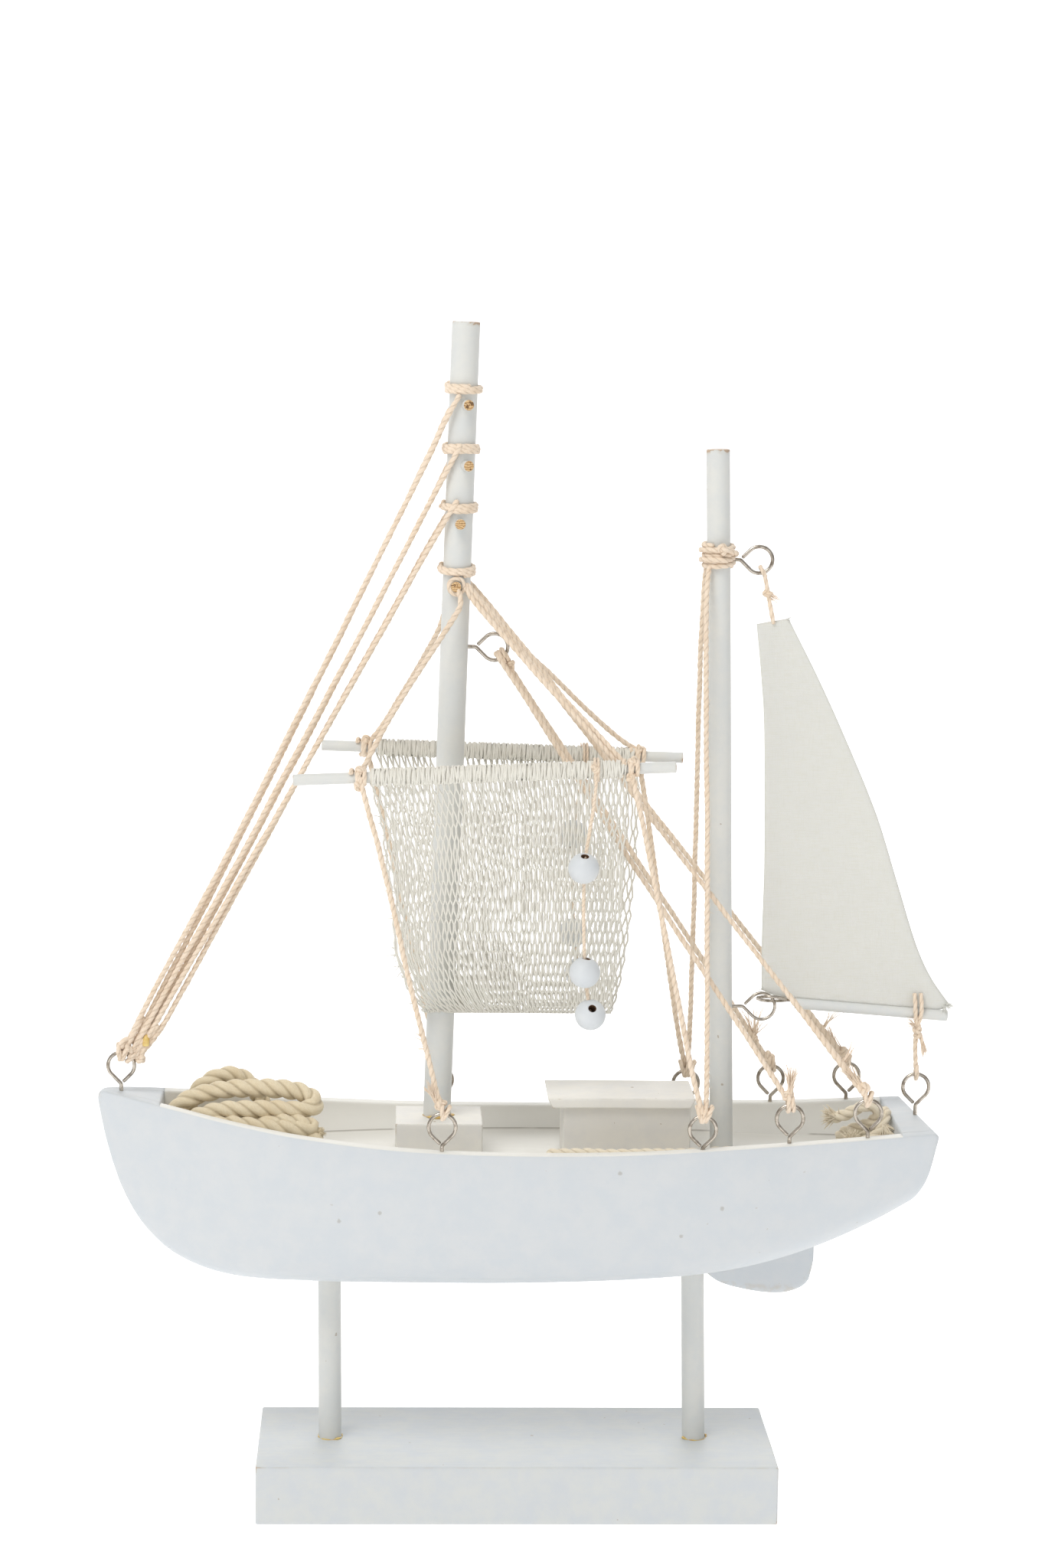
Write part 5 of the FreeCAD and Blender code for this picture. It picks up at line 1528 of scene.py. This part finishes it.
        for k, (x, z) in enumerate(((-135.0, 162.4), (-133.2, 160.8), (-131.4, 160.4), (-130.0, 159.6))):
            tie.add(cord_part(bspline([(x + 4.4, 0.5 * (-1)**k, z + 8.0), (x + 1.6, -1.0 + 0.5 * k, z + 3.2),
                                       (x, -1.2, z), (x - 1.5, -0.4, z - 3.4)], 8), 0.95, seed=350 + k))
        tie.add(fuzz(nurbs_line(((-138, 0, 157), (-135, -0.8, 161), (-130, -0.4, 163)), 0.5), 3.0, 14, 356,
                     2.6))
        tie.make([CORD], "root", "cotton_cord")
        glue_drop("bow_glue", (-129.4, -1.3, 162.0), (1.3, 0.9, 2.5), 0.5, 9)
        mast = self.eyes["mast_screw_eye"][0].centre
        tie = Piece("mast_eye_tie")
        for k, (x, z) in enumerate(((2.6, -3.6), (3.6, -2.6))):
            tie.add(ring_loop(tuple(mast + [x, 0, z]), (0.75, 0.1 * k, 0.66), 1.5, 2.2, 0.85, 360 + k, 0.3))
        tie.add(knot(tuple(mast + [5.4, 0.0, -6.2]), 2.2, 0.85, 362))
        tie.make([CORD], "root", "cotton_cord")

    def small_ties(self) -> None:
        """The sail's head tie and the boom's tie, which run between the hull and the boom and ride on no
        body.
        """
        head = Piece("head_tie_cord")
        for side in (-0.7, 0.7):
            head.add(cord_part(nurbs_line(((80.8, side * 1.4, 327.0), (81.6, side, 324.6),
                                           (82.6, side * 0.6, 319.4),
                                           (83.4, side, 315.4), (84.6, side * 1.2, 309.6)), 0.5), 0.72,
                                           seed=370))
        head.add(knot((82.5, 0.0, 319.4), 2.0, 0.72, 371))
        head.add(brush((83.2, -0.6, 318.8), (0.9, -0.3, -0.6), 4.0, 14, 0.16, 372, 0.13))
        head.add(ring_loop((80.6, 0.0, 327.0), (0.9, 0, 0.5), 1.4, 1.9, 0.75, 373))
        thing = head.make([CORD], "", "cotton_cord", "head_tie")
        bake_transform(thing)
        boom = Piece("boom_tie_cord")
        for foot, side in ((137.0, -0.9), (139.2, 0.9)):
            boom.add(cord_part(nurbs_line(((foot, -0.9, 180.6), (foot, -2.6, 178.6),
                                           (foot + 0.1, -3.1, 174.4),
                                           (138.1 + side * 0.4, -1.9, 170.4), (138.2, -0.6, 167.6)), 0.5),
                                           0.78,
                               seed=380))
        boom.add(cord_part(nurbs_line(((138.2, -0.4, 168.0), (137.7, -0.2, 163.6), (138.0, 0.0, 158.2),
                                       (138.4, 0.0, 153.4)), 0.5), 0.82, seed=382))
        boom.add(cord_part(nurbs_line(((138.8, -0.6, 167.4), (140.0, -1.0, 164.6), (140.6, -1.2, 161.4)),
                                      0.5), 0.72,
                           seed=383))
        boom.add(knot((138.3, -0.6, 168.2), 2.4, 0.8, 384)).add(knot((138.6, -0.7, 166.0), 1.8, 0.7, 385))
        boom.add(brush((140.6, -1.2, 162.4), (0.12, -0.1, -1.0), 4.2, 22, 0.12, 386, 0.15))
        boom.add(brush((137.6, -1.6, 169.2), (-0.75, -0.2, 0.6), 4.6, 24, 0.2, 387, 0.15))
        stern = self.eyes["stern_screw_eye"][0].centre + np.array([0, 0, 4.55])
        boom.add(ring_loop(tuple(stern + [0, 0, 0.6]), (1, 0, 0), 1.5, 2.3, 0.82, 388))
        thing = boom.make([CORD], "", "cotton_cord", "boom_tie")
        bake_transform(thing)

    def build(self) -> None:
        """All the cord work."""
        hairs = self.stays()
        self.lashings()
        self.hitches()
        self.ties()
        self.small_ties()
        Piece("cord_hairs", *hairs).make([CORD], "root", "cotton_cord")


def glue_drop(name: str, centre: Point, size: Point, flat: float, seed: int) -> None:
    """A bead of glue: a ball scaled along each axis and swollen by noise, cut flat underneath.

    Args:
        name: Name of the piece.
        centre: Middle of the bead.
        size: Half its length, width and height.
        flat: Share of the height kept below the middle.
        seed: Number that sets its shape.
    """
    v = np.radians(np.linspace(-86, 86, 15))[:, None]
    u = 2 * math.pi * np.arange(24)[None] / 24
    ball = np.stack(np.broadcast_arrays(np.cos(v) * np.cos(u), np.cos(v) * np.sin(u), np.sin(v)),
                    -1).reshape(-1, 3)
    ball *= (1 + 0.45 * ball_noise(ball * 3 + seed, 1.6, seed))[:, None]
    points = ball * np.array(size)
    points[:, 2] = np.maximum(points[:, 2], -flat * size[2])
    ends = np.arange(24)
    caps = np.stack([ends[::-1], ends + 14 * 24])
    drop = Part(points + np.array(centre), [grid_faces(15, 24), caps])
    Piece(name, drop).make([GLUE], "root", "cabin_paint")


# ---- net ---------------------------------------------------------------------------------------
@dataclass
class Net:
    """Netting slung between the yards: many threads side by side, lashed round both yards."""

    spars: Spars
    threads: int = 88
    thread_radius: float = 0.36
    low_z: float = 173.6
    half_span: float = 33.0
    power: float = 2.6
    left: tuple[float, float] = (-52.9, -50.8)
    right: tuple[float, float] = (32.2, 41.9)
    slant: tuple[tuple[float, float], ...] = (
        (0.0, 0.0), (0.20, 4.5), (0.50, 7.4), (0.72, 8.6), (0.88, 13.6), (1.0, 20.5))
    mast_clear: float = 5.6
    wave: float = 8.2
    swing: float = 1.35
    wound: tuple[float, float] = (-70.0, 196.0)
    seed: int = 31
    width: float = 0.085
    height: float = 0.205

    def side_line(self) -> tuple[Array, Array]:
        """Points of one thread's run from yard to yard: share across, and depth below the yard."""
        fine = np.linspace(-1, 1, 801)
        depth = 1 - np.abs(fine)**self.power
        s = run_lengths(np.stack([fine * self.half_span, depth * 87.0], 1))
        share = np.interp(np.linspace(2.5, s[-1] - 2.5, 84), s, fine)
        return share, 1 - np.abs(share)**self.power

    def lines(self) -> Array:
        """Middle lines of the threads, thread by point by coordinate.

        Thread i runs at x = left + u (right - left), where left moves in by the slant with depth; it
        sways by a sin(2 pi s / wave + pi i), so neighbours part and meet, and the amount and phase
        of that drift from place to place; each end winds round its yard by the angles in wound.
        """
        count, seed = self.threads, self.seed
        random = np.random.default_rng(seed)
        u = (np.arange(count) + random.uniform(-0.3, 0.3, count)) / (count - 1)
        u = np.clip(u, 0, 1)[:, None]
        share, depth = self.side_line()
        across = (share[None] + 1) / 2
        low, inset = np.array(self.slant).T
        start = self.left[0] + (self.left[1] - self.left[0]) * across + np.interp(depth, low, inset)
        stop = self.right[0] + (self.right[1] - self.right[0]) * across
        stop = stop - 5.6 * depth**3
        x = start + u * (stop - start)
        run = np.linspace(0, 1, len(share)) * 205.0
        row = np.arange(count)[:, None]
        place = np.stack(np.broadcast_arrays(row * 0.85, run[None], 0.0), -1).reshape(-1, 3)
        loose = ball_noise(place, 5.0, seed + 1).reshape(count, -1)
        drift = ball_noise(place, 14.0, seed + 2).reshape(count, -1)
        sway = (0.30 + 0.5 * np.clip(loose, -0.5, 1)) * np.sin(
            2 * math.pi * run[None] / self.wave + math.pi * row + 2.6 * drift)
        x = x + self.swing * sway + 0.8 * drift
        yards = [self.spars.yard_point(k, x) for k in (0, 1)]
        yard_z = yards[0][..., 2] * (1 - across) + yards[1][..., 2] * across
        z = self.low_z + (yard_z - self.low_z) * (1 - depth)[None]
        y = share[None] * self.half_span
        hang = np.exp(-(yard_z - z) / 6.0)
        y = y + np.sign(share)[None] * 1.9 * hang * np.clip((yard_z - z) / 2, 0, 1)
        ripple = 0.35 * ball_noise(place, 2.2, seed + 3).reshape(count, -1)
        y = y + ripple * (1 - hang)
        mast = self.spars.mast_point(0, z)[..., 0]
        dx = np.where(np.abs(x - mast) < 0.05, 0.05, x - mast)
        near = np.clip(1 - (z - self.low_z) / 45.0, 0, 1)
        wide = np.hypot(dx, y)
        push = np.sqrt(wide**2 + self.mast_clear**2 * near) / wide
        x = mast + dx * np.where(wide < 22, push, 1 + (push - 1) * np.exp(-(wide - 22) / 4))
        middle = np.stack([x, y, z], -1)
        ends = []
        for k, side in ((0, -1.0), (1, 1.0)):
            turn = np.radians(np.linspace(*self.wound, 22))
            lean = (np.where(row % 2 == 0, 1.0, -1.0) + random.normal(size=(count, 1)) * 0.3) * 0.9
            at = x[:, :1] if k == 0 else x[:, -1:]
            wind_x = at + lean * (1 - np.linspace(0, 1, 22))[None] * 1.0
            core = self.spars.yard_point(k, wind_x)
            reach = 2.3 + 0.2 * random.uniform(0, 1, (count, 1))
            ring = np.stack([wind_x, core[..., 1] - side * reach * np.cos(turn),
                             core[..., 2] + reach * np.sin(turn)],
                            -1)
            ends.append(ring if k == 0 else ring[:, ::-1])
        return np.concatenate([ends[0], middle, ends[1]], 1)

    def tubes(self, lines: Array, radius: float, sides: int = 5) -> Part:
        """Round threads on many lines at once, as one part."""
        count, length = lines.shape[:2]
        tangent = unit(np.gradient(lines, axis=1))
        reference = np.array([1.0, 0.02, 0.03])
        normal = unit(reference - (tangent @ reference)[..., None] * tangent)
        binormal = np.cross(tangent, normal)
        angle = 2 * math.pi * np.arange(sides) / sides
        ring = np.cos(angle)[:, None] * normal[:, :, None] + np.sin(angle)[:, None] * binormal[:, :, None]
        points = (lines[:, :, None] + radius * ring).reshape(-1, 3)
        shift = (np.arange(count) * length * sides)[:, None, None]
        ends = np.arange(sides)
        caps = np.stack([ends[::-1], ends + (length - 1) * sides])
        steps = np.arange(length)[None, :, None] * 2.3
        flow = np.stack(np.broadcast_arrays(steps * 0.3, np.arange(count)[:, None, None] * 3.1,
                                            np.cos(angle)),
                        -1).reshape(-1, 3)
        return Part(points, [(grid_faces(length, sides)[None] + shift).reshape(-1, 4),
                             (caps[None] + shift).reshape(-1, sides)], flow=flow)

    def build(self) -> None:
        """The sheet of threads, its lashings along both yards and its frayed edge."""
        lines = self.lines()
        cloth = self.tubes(lines, self.thread_radius)
        net = Piece("net_threads", cloth).make([NET_YARN], "root", "netting", "net")
        wraps = Piece("net_lashing")
        for k, (low, high) in enumerate(zip(self.left, self.right)):
            for seed, hand, pitch in ((1, 1.0, 2.3), (2, -1.0, 2.9), (3, 1.0, 1.7), (4, -1.0, 1.5)):
                turns = (high - low) / pitch
                t = np.linspace(0, 1, int(turns * 18))
                random = np.random.default_rng(500 + seed + k)
                uneven = np.interp(t, np.linspace(0, 1, 60), random.normal(size=60)) * 0.4
                x = low + 0.6 + (high - low - 1.2) * t + uneven * 0.5
                core = self.spars.yard_point(k, x)
                angle = hand * 2 * math.pi * turns * t + uneven
                reach = 2.5 + 0.09 * seed
                path = np.stack([x, core[:, 1] + reach * np.cos(angle), core[:, 2] + reach * np.sin(angle)],
                                1)
                wraps.add(sweep(path, 0.38, 6))
            ends = [self.spars.yard_point(k, np.array(x)) for x in (low + 0.4, high - 0.4)]
            rows, _ = dowel_profile(high - low - 0.8, 2.3, 0.2, 3.0)
            wraps.add(turned(rows, ends[0], ends[1], 20))
        wraps.make([NET_YARN], "root", "netting")
        random = np.random.default_rng(77)
        roots = lines[0][random.integers(24, 100, 46)]
        aims = np.stack([-random.uniform(0.3, 1.2, 46), random.uniform(-0.3, 0.3, 46),
                         random.uniform(-1.2, 0.5, 46)],
                        1)
        frayed = Piece("net_loose_ends",
                       fibres(roots, aims, random.uniform(1.5, 5.0, 46), 0.2, 78, 0.5, 4, 6))
        tip = lines[-14:, 44:62].reshape(-1, 3)[::9]
        frayed.add(fibres(tip, np.tile([0.5, -0.2, -0.8], (len(tip), 1)), random.uniform(1.0, 3.4, len(tip)),
                          0.18, 79, 0.5, 4, 6))
        frayed.make([NET_YARN], "root", "netting")


# ---- sail and boom -----------------------------------------------------------------------------
@dataclass
class MizzenSail:
    """Boom and the small canvas sail that stands on it."""

    boom_fore: Point = (95.4, 0.0, 177.0)
    boom_aft: Point = (148.7, 0.0, 172.9)
    boom_diameter: float = 3.8
    luff: tuple[Point, ...] = ((83.4, 0, 182.0), (83.3, 0, 203.0), (83.5, 0, 225.0), (83.0, 0, 250.0),
                               (82.2, 0, 276.0), (80.7, 0, 293.0), (78.9, 0, 309.1))
    leech: tuple[Point, ...] = ((149.6, 0, 176.6), (142.6, 0, 186.4), (137.2, 0, 197.7), (129.8, 0, 220.0),
                                (122.0, 0, 243.3), (112.0, 0, 266.5), (101.2, 0, 289.3), (89.8, 0, 311.1))
    foot: tuple[Point, ...] = ((83.4, 0, 182.0), (88.5, 0, 179.7), (95.4, 0, 178.8), (113.0, 0, 177.45),
                               (131.0, 0, 176.05), (142.0, 0, 175.25), (147.0, 0, 175.2), (149.6, 0, 176.6))
    thickness: float = 0.34
    hem: float = 4.6
    cut_width: float = 0.067
    cut_height: float = 0.134
    cut_area: float = 0.00497

    def sheet(self) -> Part:
        """The sail: edges blended as a Coons patch, hems thicker, a slight belly.

        P(u, v) is the blend of luff and leech plus the blend of foot and head less the blend of
        the corners. The cloth's half thickness is t (1 + hem), with a stitched dip at the hem's
        inner edge, and its belly is b sin(pi u) sin(pi v).
        """
        columns, rows = 56, 120
        u, v = np.linspace(0, 1, columns), np.linspace(0, 1, rows)

        def along(points: tuple[Point, ...], t: Array) -> Array:
            line = np.array(points, float)
            s = run_lengths(line) / run_lengths(line)[-1]
            return np.stack([hermite(s, line[:, k], t) for k in range(3)], -1)

        fore, aft, low = along(self.luff, v), along(self.leech, v), along(self.foot, u)
        head = fore[-1] + u[:, None] * (aft[-1] - fore[-1])
        grid = ((1 - u)[None, :, None] * fore[:, None] + u[None, :, None] * aft[:, None]
                + (1 - v)[:, None, None] * low[None] + v[:, None, None] * head[None])
        corners = ((1 - u)[None, :, None] * (1 - v)[:, None, None] * low[0]
                   + u[None, :, None] * (1 - v)[:, None, None] * low[-1]
                   + (1 - u)[None, :, None] * v[:, None, None] * fore[-1]
                   + u[None, :, None] * v[:, None, None] * aft[-1])
        grid = grid - corners
        x, z = grid[..., 0], grid[..., 2]
        wide = np.linalg.norm(aft - fore, axis=1)[:, None]
        tall = 130.0
        gap = np.minimum(np.minimum(u[None] * wide, (1 - u)[None] * wide),
                         np.minimum(v * tall, (1 - v) * tall)[:, None])
        hem = 1 / (1 + np.exp((gap - self.hem) / 0.28))
        stitch = (0.22 * np.exp(-((gap - self.hem + 0.9) / 0.32)**2)
                  * (0.6 + 0.4 * np.sin(2 * math.pi * z / 2.4)))
        rim = np.sqrt(np.clip(gap / 0.35, 0.02, 1))
        half = self.thickness * (0.75 + 0.65 * hem - stitch) * rim
        place = np.stack([x, z * 0, z], -1).reshape(-1, 3)
        wave = ball_noise(place, 9.0, 5).reshape(rows, columns)
        crimp = ball_noise(place, 2.6, 6).reshape(rows, columns) * np.exp(-gap / 3.0)
        middle = (1.7 * np.sin(math.pi * u)[None] * np.sin(math.pi * v)[:, None]
                  - 0.5 * wave * (1 - hem * 0.4) + 0.28 * crimp
                  - 1.3 * np.exp(-((x - 83.4)**2 + (z - 182.0)**2) / 70.0))
        front = np.stack([x, middle - half, z], -1)
        back = np.stack([x, middle + half, z], -1)
        points = np.concatenate([front, back[:, ::-1]], 1).reshape(-1, 3)
        turn = 2 * columns
        faces = grid_faces(rows, turn)
        j = np.arange(columns - 1)
        under = np.stack([turn - 1 - j, turn - 2 - j, j + 1, j], 1)
        over = np.stack([j, j + 1, turn - 2 - j, turn - 1 - j], 1) + (rows - 1) * turn
        cloth = np.stack([x, z, 0 * x], -1)
        flow = np.concatenate([cloth, cloth[:, ::-1]], 1).reshape(-1, 3)
        return Part(points, [faces, under, over], flow=flow)

    def build(self) -> None:
        """Boom with a raw fore end, the sail, its frayed clew and its tack threads."""
        start, end = np.array(self.boom_fore), np.array(self.boom_aft)
        rows, worn = dowel_profile(np.linalg.norm(end - start), self.boom_diameter / 2, 0.35, 4.0)
        part = turned(rows, start, end, 32, worn * np.where(rows[:, 0] < 10, 1.1, 0.4), raw_rows=1)
        Piece("boom_spar", part).make([YARD_PAINT, END_GRAIN], "boom_set", "spar_paint", "boom")
        sail = Piece("mizzen_sail_cloth", self.sheet())
        sail = sail.make([SAIL_CLOTH], "boom_set", "canvas", "mizzen_sail")
        threads = Piece("sail_threads",
                        brush((148.6, -0.3, 176.6), (0.5, -0.3, 0.1), 2.6, 26, 0.5, 401, 0.14))
        threads.add(brush((147.6, -0.6, 175.8), (0.1, -0.6, -0.9), 3.4, 14, 0.3, 402, 0.13))
        threads.add(brush((83.8, -1.3, 182.6), (-0.4, -0.3, -0.6), 1.8, 8, 0.4, 403, 0.12))
        threads.add(brush((89.2, -0.2, 310.6), (0.7, 0, 0.6), 1.8, 10, 0.4, 404, 0.12))
        threads.make([SAIL_CLOTH], "boom_set", "canvas")


# ---- floats ------------------------------------------------------------------------------------
@dataclass
class Floats:
    """Three drilled wooden balls on a string under each yard."""

    spars: Spars
    radius: float = 5.2
    bore: float = 1.3
    string: float = 0.62
    loop_x: float = 22.8
    side: float = 36.8
    stations: tuple[tuple[float, float], ...] = ((19.0, 230.0), (19.9, 194.6), (22.0, 180.2))
    bore_aims: tuple[Point, ...] = ((0.05, -0.42, 0.9), (0.12, -0.1, 1.0), (0.1, -0.8, 0.62))

    def ball(self, centre: Array, aim: Array, seed: int) -> Part:
        """A ball with a hole through it: an arc of radius R and the bore, spun as one closed loop."""
        sides, arc_rows = 40, 34
        lip = math.asin(self.bore / self.radius)
        v = np.linspace(lip + 0.05, math.pi - lip - 0.05, arc_rows)
        outer = np.stack([self.radius * np.cos(v), self.radius * np.sin(v)], 1)
        deep = self.radius * math.cos(lip) - 0.25
        inner = np.stack([np.linspace(-deep, deep, 12), np.full(12, self.bore)], 1)
        inner[[0, -1], 1] += 0.06
        profile = np.concatenate([outer, inner])
        part = turned(profile, np.zeros(3), unit(aim), sides)
        quads = grid_faces(len(profile), sides, loop_rows=True)[:, ::-1]
        # the bore's faces, which take the darkened raw wood: painted shade in the hole
        raw = quads[:, [0, 2]].min(1) // sides >= arc_rows
        shape = part.points * (1 + 0.012 * ball_noise(part.points, 3.0, seed))[:, None]
        ball = Part(shape + centre, [quads[~raw], quads[raw]], wear=np.zeros(len(shape)))
        ball.slots = [0, 1]
        return ball

    def build(self) -> None:
        """Balls, string and the loop on the yard, on the body that swings."""
        for k, (name, side) in enumerate((("port", -1.0), ("starboard", 1.0))):
            body = "float_line_" + name
            middles = [np.array([x, side * self.side, z]) for x, z in self.stations]
            balls = Piece("float_balls_" + name)
            for n, (middle, aim) in enumerate(zip(middles, self.bore_aims)):
                balls.add(self.ball(middle, np.array(aim) * [1, -side, 1] if side > 0 else np.array(aim),
                                    7 + n))
            balls.make([FLOAT_PAINT, SHADED_HOLE_WOOD], body, "float_paint", "floats_" + name)
            yard = self.spars.yard_point(k, np.array(self.loop_x))
            route = [(self.loop_x, side * (self.side - 0.5), float(yard[2])),
                     (self.loop_x - 0.1, side * self.side, 255.0),
                     (20.4, side * self.side, 240.0), (19.1, side * self.side, 231.0),
                     (19.2, side * self.side, 212.0), (19.9, side * self.side, 196.0),
                     (20.8, side * self.side, 187.5), (21.9, side * self.side, 181.4)]
            line = nurbs_line(route, 0.4)
            string = Piece("float_line_cord_" + name,
                           cord_part(line, self.string, seed=90 + k, lay=1.7, sides=10))
            thing = string.make([CORD], body, "cotton_cord", "float_string_" + name)
            loops = Piece("float_loop_" + name)
            for n in range(2):
                path = helix(yard, (1, 0, 0), 3.75, 1.0, 0.0, 0.0)[:-1] + np.array([n * 1.1 - 0.5, 0, 0])
                loops.add(cord_part(path, 0.5, seed=95 + n, loop=True, sides=10, lay=1.8))
            loops.add(knot(tuple(yard + np.array([-0.4, side * 3.9, 1.0])), 1.9, 0.66, 97))
            loops.add(brush(tuple(yard + np.array([-0.8, side * 4.2, 1.4])), (-0.5, side * 0.3, 0.9), 3.0, 9,
                            0.25, 98, 0.13))
            loops.add(fuzz(line, self.string, 0.8, 99))
            loops.make([CORD], body, "cotton_cord")


# ---- ropes in the well -------------------------------------------------------------------------
@dataclass
class Ropes:
    """The thick rope heaped in the bow, the knotted ends in the stern, the rope by the rail."""

    hank_radius: float = 3.3
    hank: tuple[Point, ...] = (
        (-70.0, -14.2, 131.4), (-76.0, -14.0, 130.8), (-84.0, -13.6, 132.2), (-90.0, -12.8, 134.8),
        (-84.0, -12.0, 137.0), (-75.6, -12.6, 136.4), (-70.4, -13.6, 134.6), (-76.0, -14.4, 134.6),
        (-88.1, -14.0, 135.0), (-98.6, -13.2, 136.0), (-107.0, -12.0, 135.4), (-112.4, -8.4, 131.6),
        (-115.6, -2.0, 130.6), (-115.8, 3.4, 134.6),
        (-113.2, 7.0, 142.2), (-105.4, 8.2, 148.4), (-97.4, 8.6, 148.6), (-91.0, 9.2, 142.6),
        (-88.6, 9.8, 134.4), (-92.6, 8.6, 128.0), (-103.0, 4.6, 127.2), (-113.0, 0.0, 128.6),
        (-119.4, -2.6, 134.0), (-118.6, -3.0, 140.2), (-112.4, -2.7, 143.6), (-104.0, -2.5, 145.8),
        (-95.0, -2.5, 146.4), (-86.0, -2.5, 146.4), (-77.6, -2.8, 145.8), (-71.6, -4.0, 143.6),
        (-70.6, -7.2, 140.8), (-75.6, -9.4, 140.2), (-84.0, -9.8, 140.6), (-93.0, -10.0, 140.7),
        (-102.0, -9.9, 140.4), (-109.4, -9.2, 138.8), (-113.4, -7.6, 136.4))
    bundle_radius: float = 2.1
    bundle: tuple[Point, ...] = (
        (109.6, -4.2, 137.4), (113.4, -4.6, 138.2), (117.6, -5.2, 141.2), (122.4, -5.2, 142.2),
        (125.4, -4.0, 139.4), (123.8, -2.4, 135.6), (119.0, -1.2, 133.6), (114.2, 0.8, 131.2),
        (112.4, 4.2, 128.4), (116.2, 8.0, 127.6), (122.6, 8.4, 129.6), (127.0, 6.0, 134.0),
        (128.2, 2.0, 138.2), (127.8, -2.6, 138.4), (126.8, -6.4, 134.2), (122.4, -8.6, 130.6),
        (116.8, -9.2, 129.4), (112.2, -8.8, 128.0))
    fold_radius: float = 2.2
    fold: tuple[Point, ...] = (
        (9.6, -30.9, 130.3), (20.0, -30.7, 130.6), (31.0, -30.9, 130.2), (42.0, -30.6, 130.6),
        (53.0, -29.8, 130.3), (63.0, -28.9, 130.5), (70.0, -28.2, 130.9), (75.4, -27.8, 130.6),
        (76.6, -27.7, 128.0), (74.6, -27.8, 125.8), (68.0, -28.2, 125.7), (56.0, -29.4, 125.8),
        (44.0, -30.3, 125.7), (30.0, -30.8, 125.8), (18.0, -30.9, 125.7), (10.0, -30.9, 125.7))

    def lay(self, name: str, route: tuple[Point, ...], radius: float, node: str, finish: Finish, slot: str,
            lay: float, how: str, seed: int, extra: Sequence[Part] = ()) -> None:
        """One thick three-strand rope as a cord, with its frayed ends."""
        line = nurbs_line(route, 0.5)
        part = cord_part(line, radius, 3, 0.30, lay, seed, 33)
        thing = Piece(name, part).make([finish], "root", slot, node)
        Piece(name + "_hairs", fuzz(line, radius, 3.0, seed, 1.8), *extra).make([finish], "root", slot)

    def build(self) -> None:
        """Hank, bundle and folded rope."""
        self.lay("hank_rope", self.hank, self.hank_radius, "rope_hank", TAN_ROPE, "tan_rope", 5.6, "coiled",
                 601, [brush((-69.6, -14.4, 133.8), (1, -0.1, 0.1), 2.4, 90, 0.55, 602, 0.3)])
        self.lay("bundle_rope", self.bundle, self.bundle_radius, "rope_bundle", CREAM_ROPE, "cream_rope",
                 3.8, "coiled", 611,
                 [brush((111.0, -4.2, 137.6), (-1.0, -0.1, 0.15), 5.6, 150, 0.34, 612, 0.3),
                  brush((126.4, -6.6, 135.0), (0.5, -0.35, -0.7), 6.4, 130, 0.34, 613, 0.3),
                  brush((115.0, -9.2, 129.6), (-0.2, -0.25, 1.0), 5.0, 90, 0.42, 614, 0.3)])
        self.lay("folded_rope", self.fold, self.fold_radius, "deck_rope", CREAM_ROPE, "cream_rope", 4.0,
                 "loose", 621)


def main() -> None:
    """Builds the studio and then the boat, sub-assembly by sub-assembly."""
    logging.basicConfig(level=logging.INFO, format="%(message)s")
    Studio().build()
    hull, spars = Hull(), Spars()
    hull.build()
    Stand().build()
    Blocks().build()
    spars.build()
    eyes = Eyes(hull, spars)
    eyes.build()
    Rigging(spars, eyes.places()).build()
    Net(spars).build()
    MizzenSail().build()
    Floats(spars).build()
    Ropes().build()


if __name__ == "__main__":
    main()
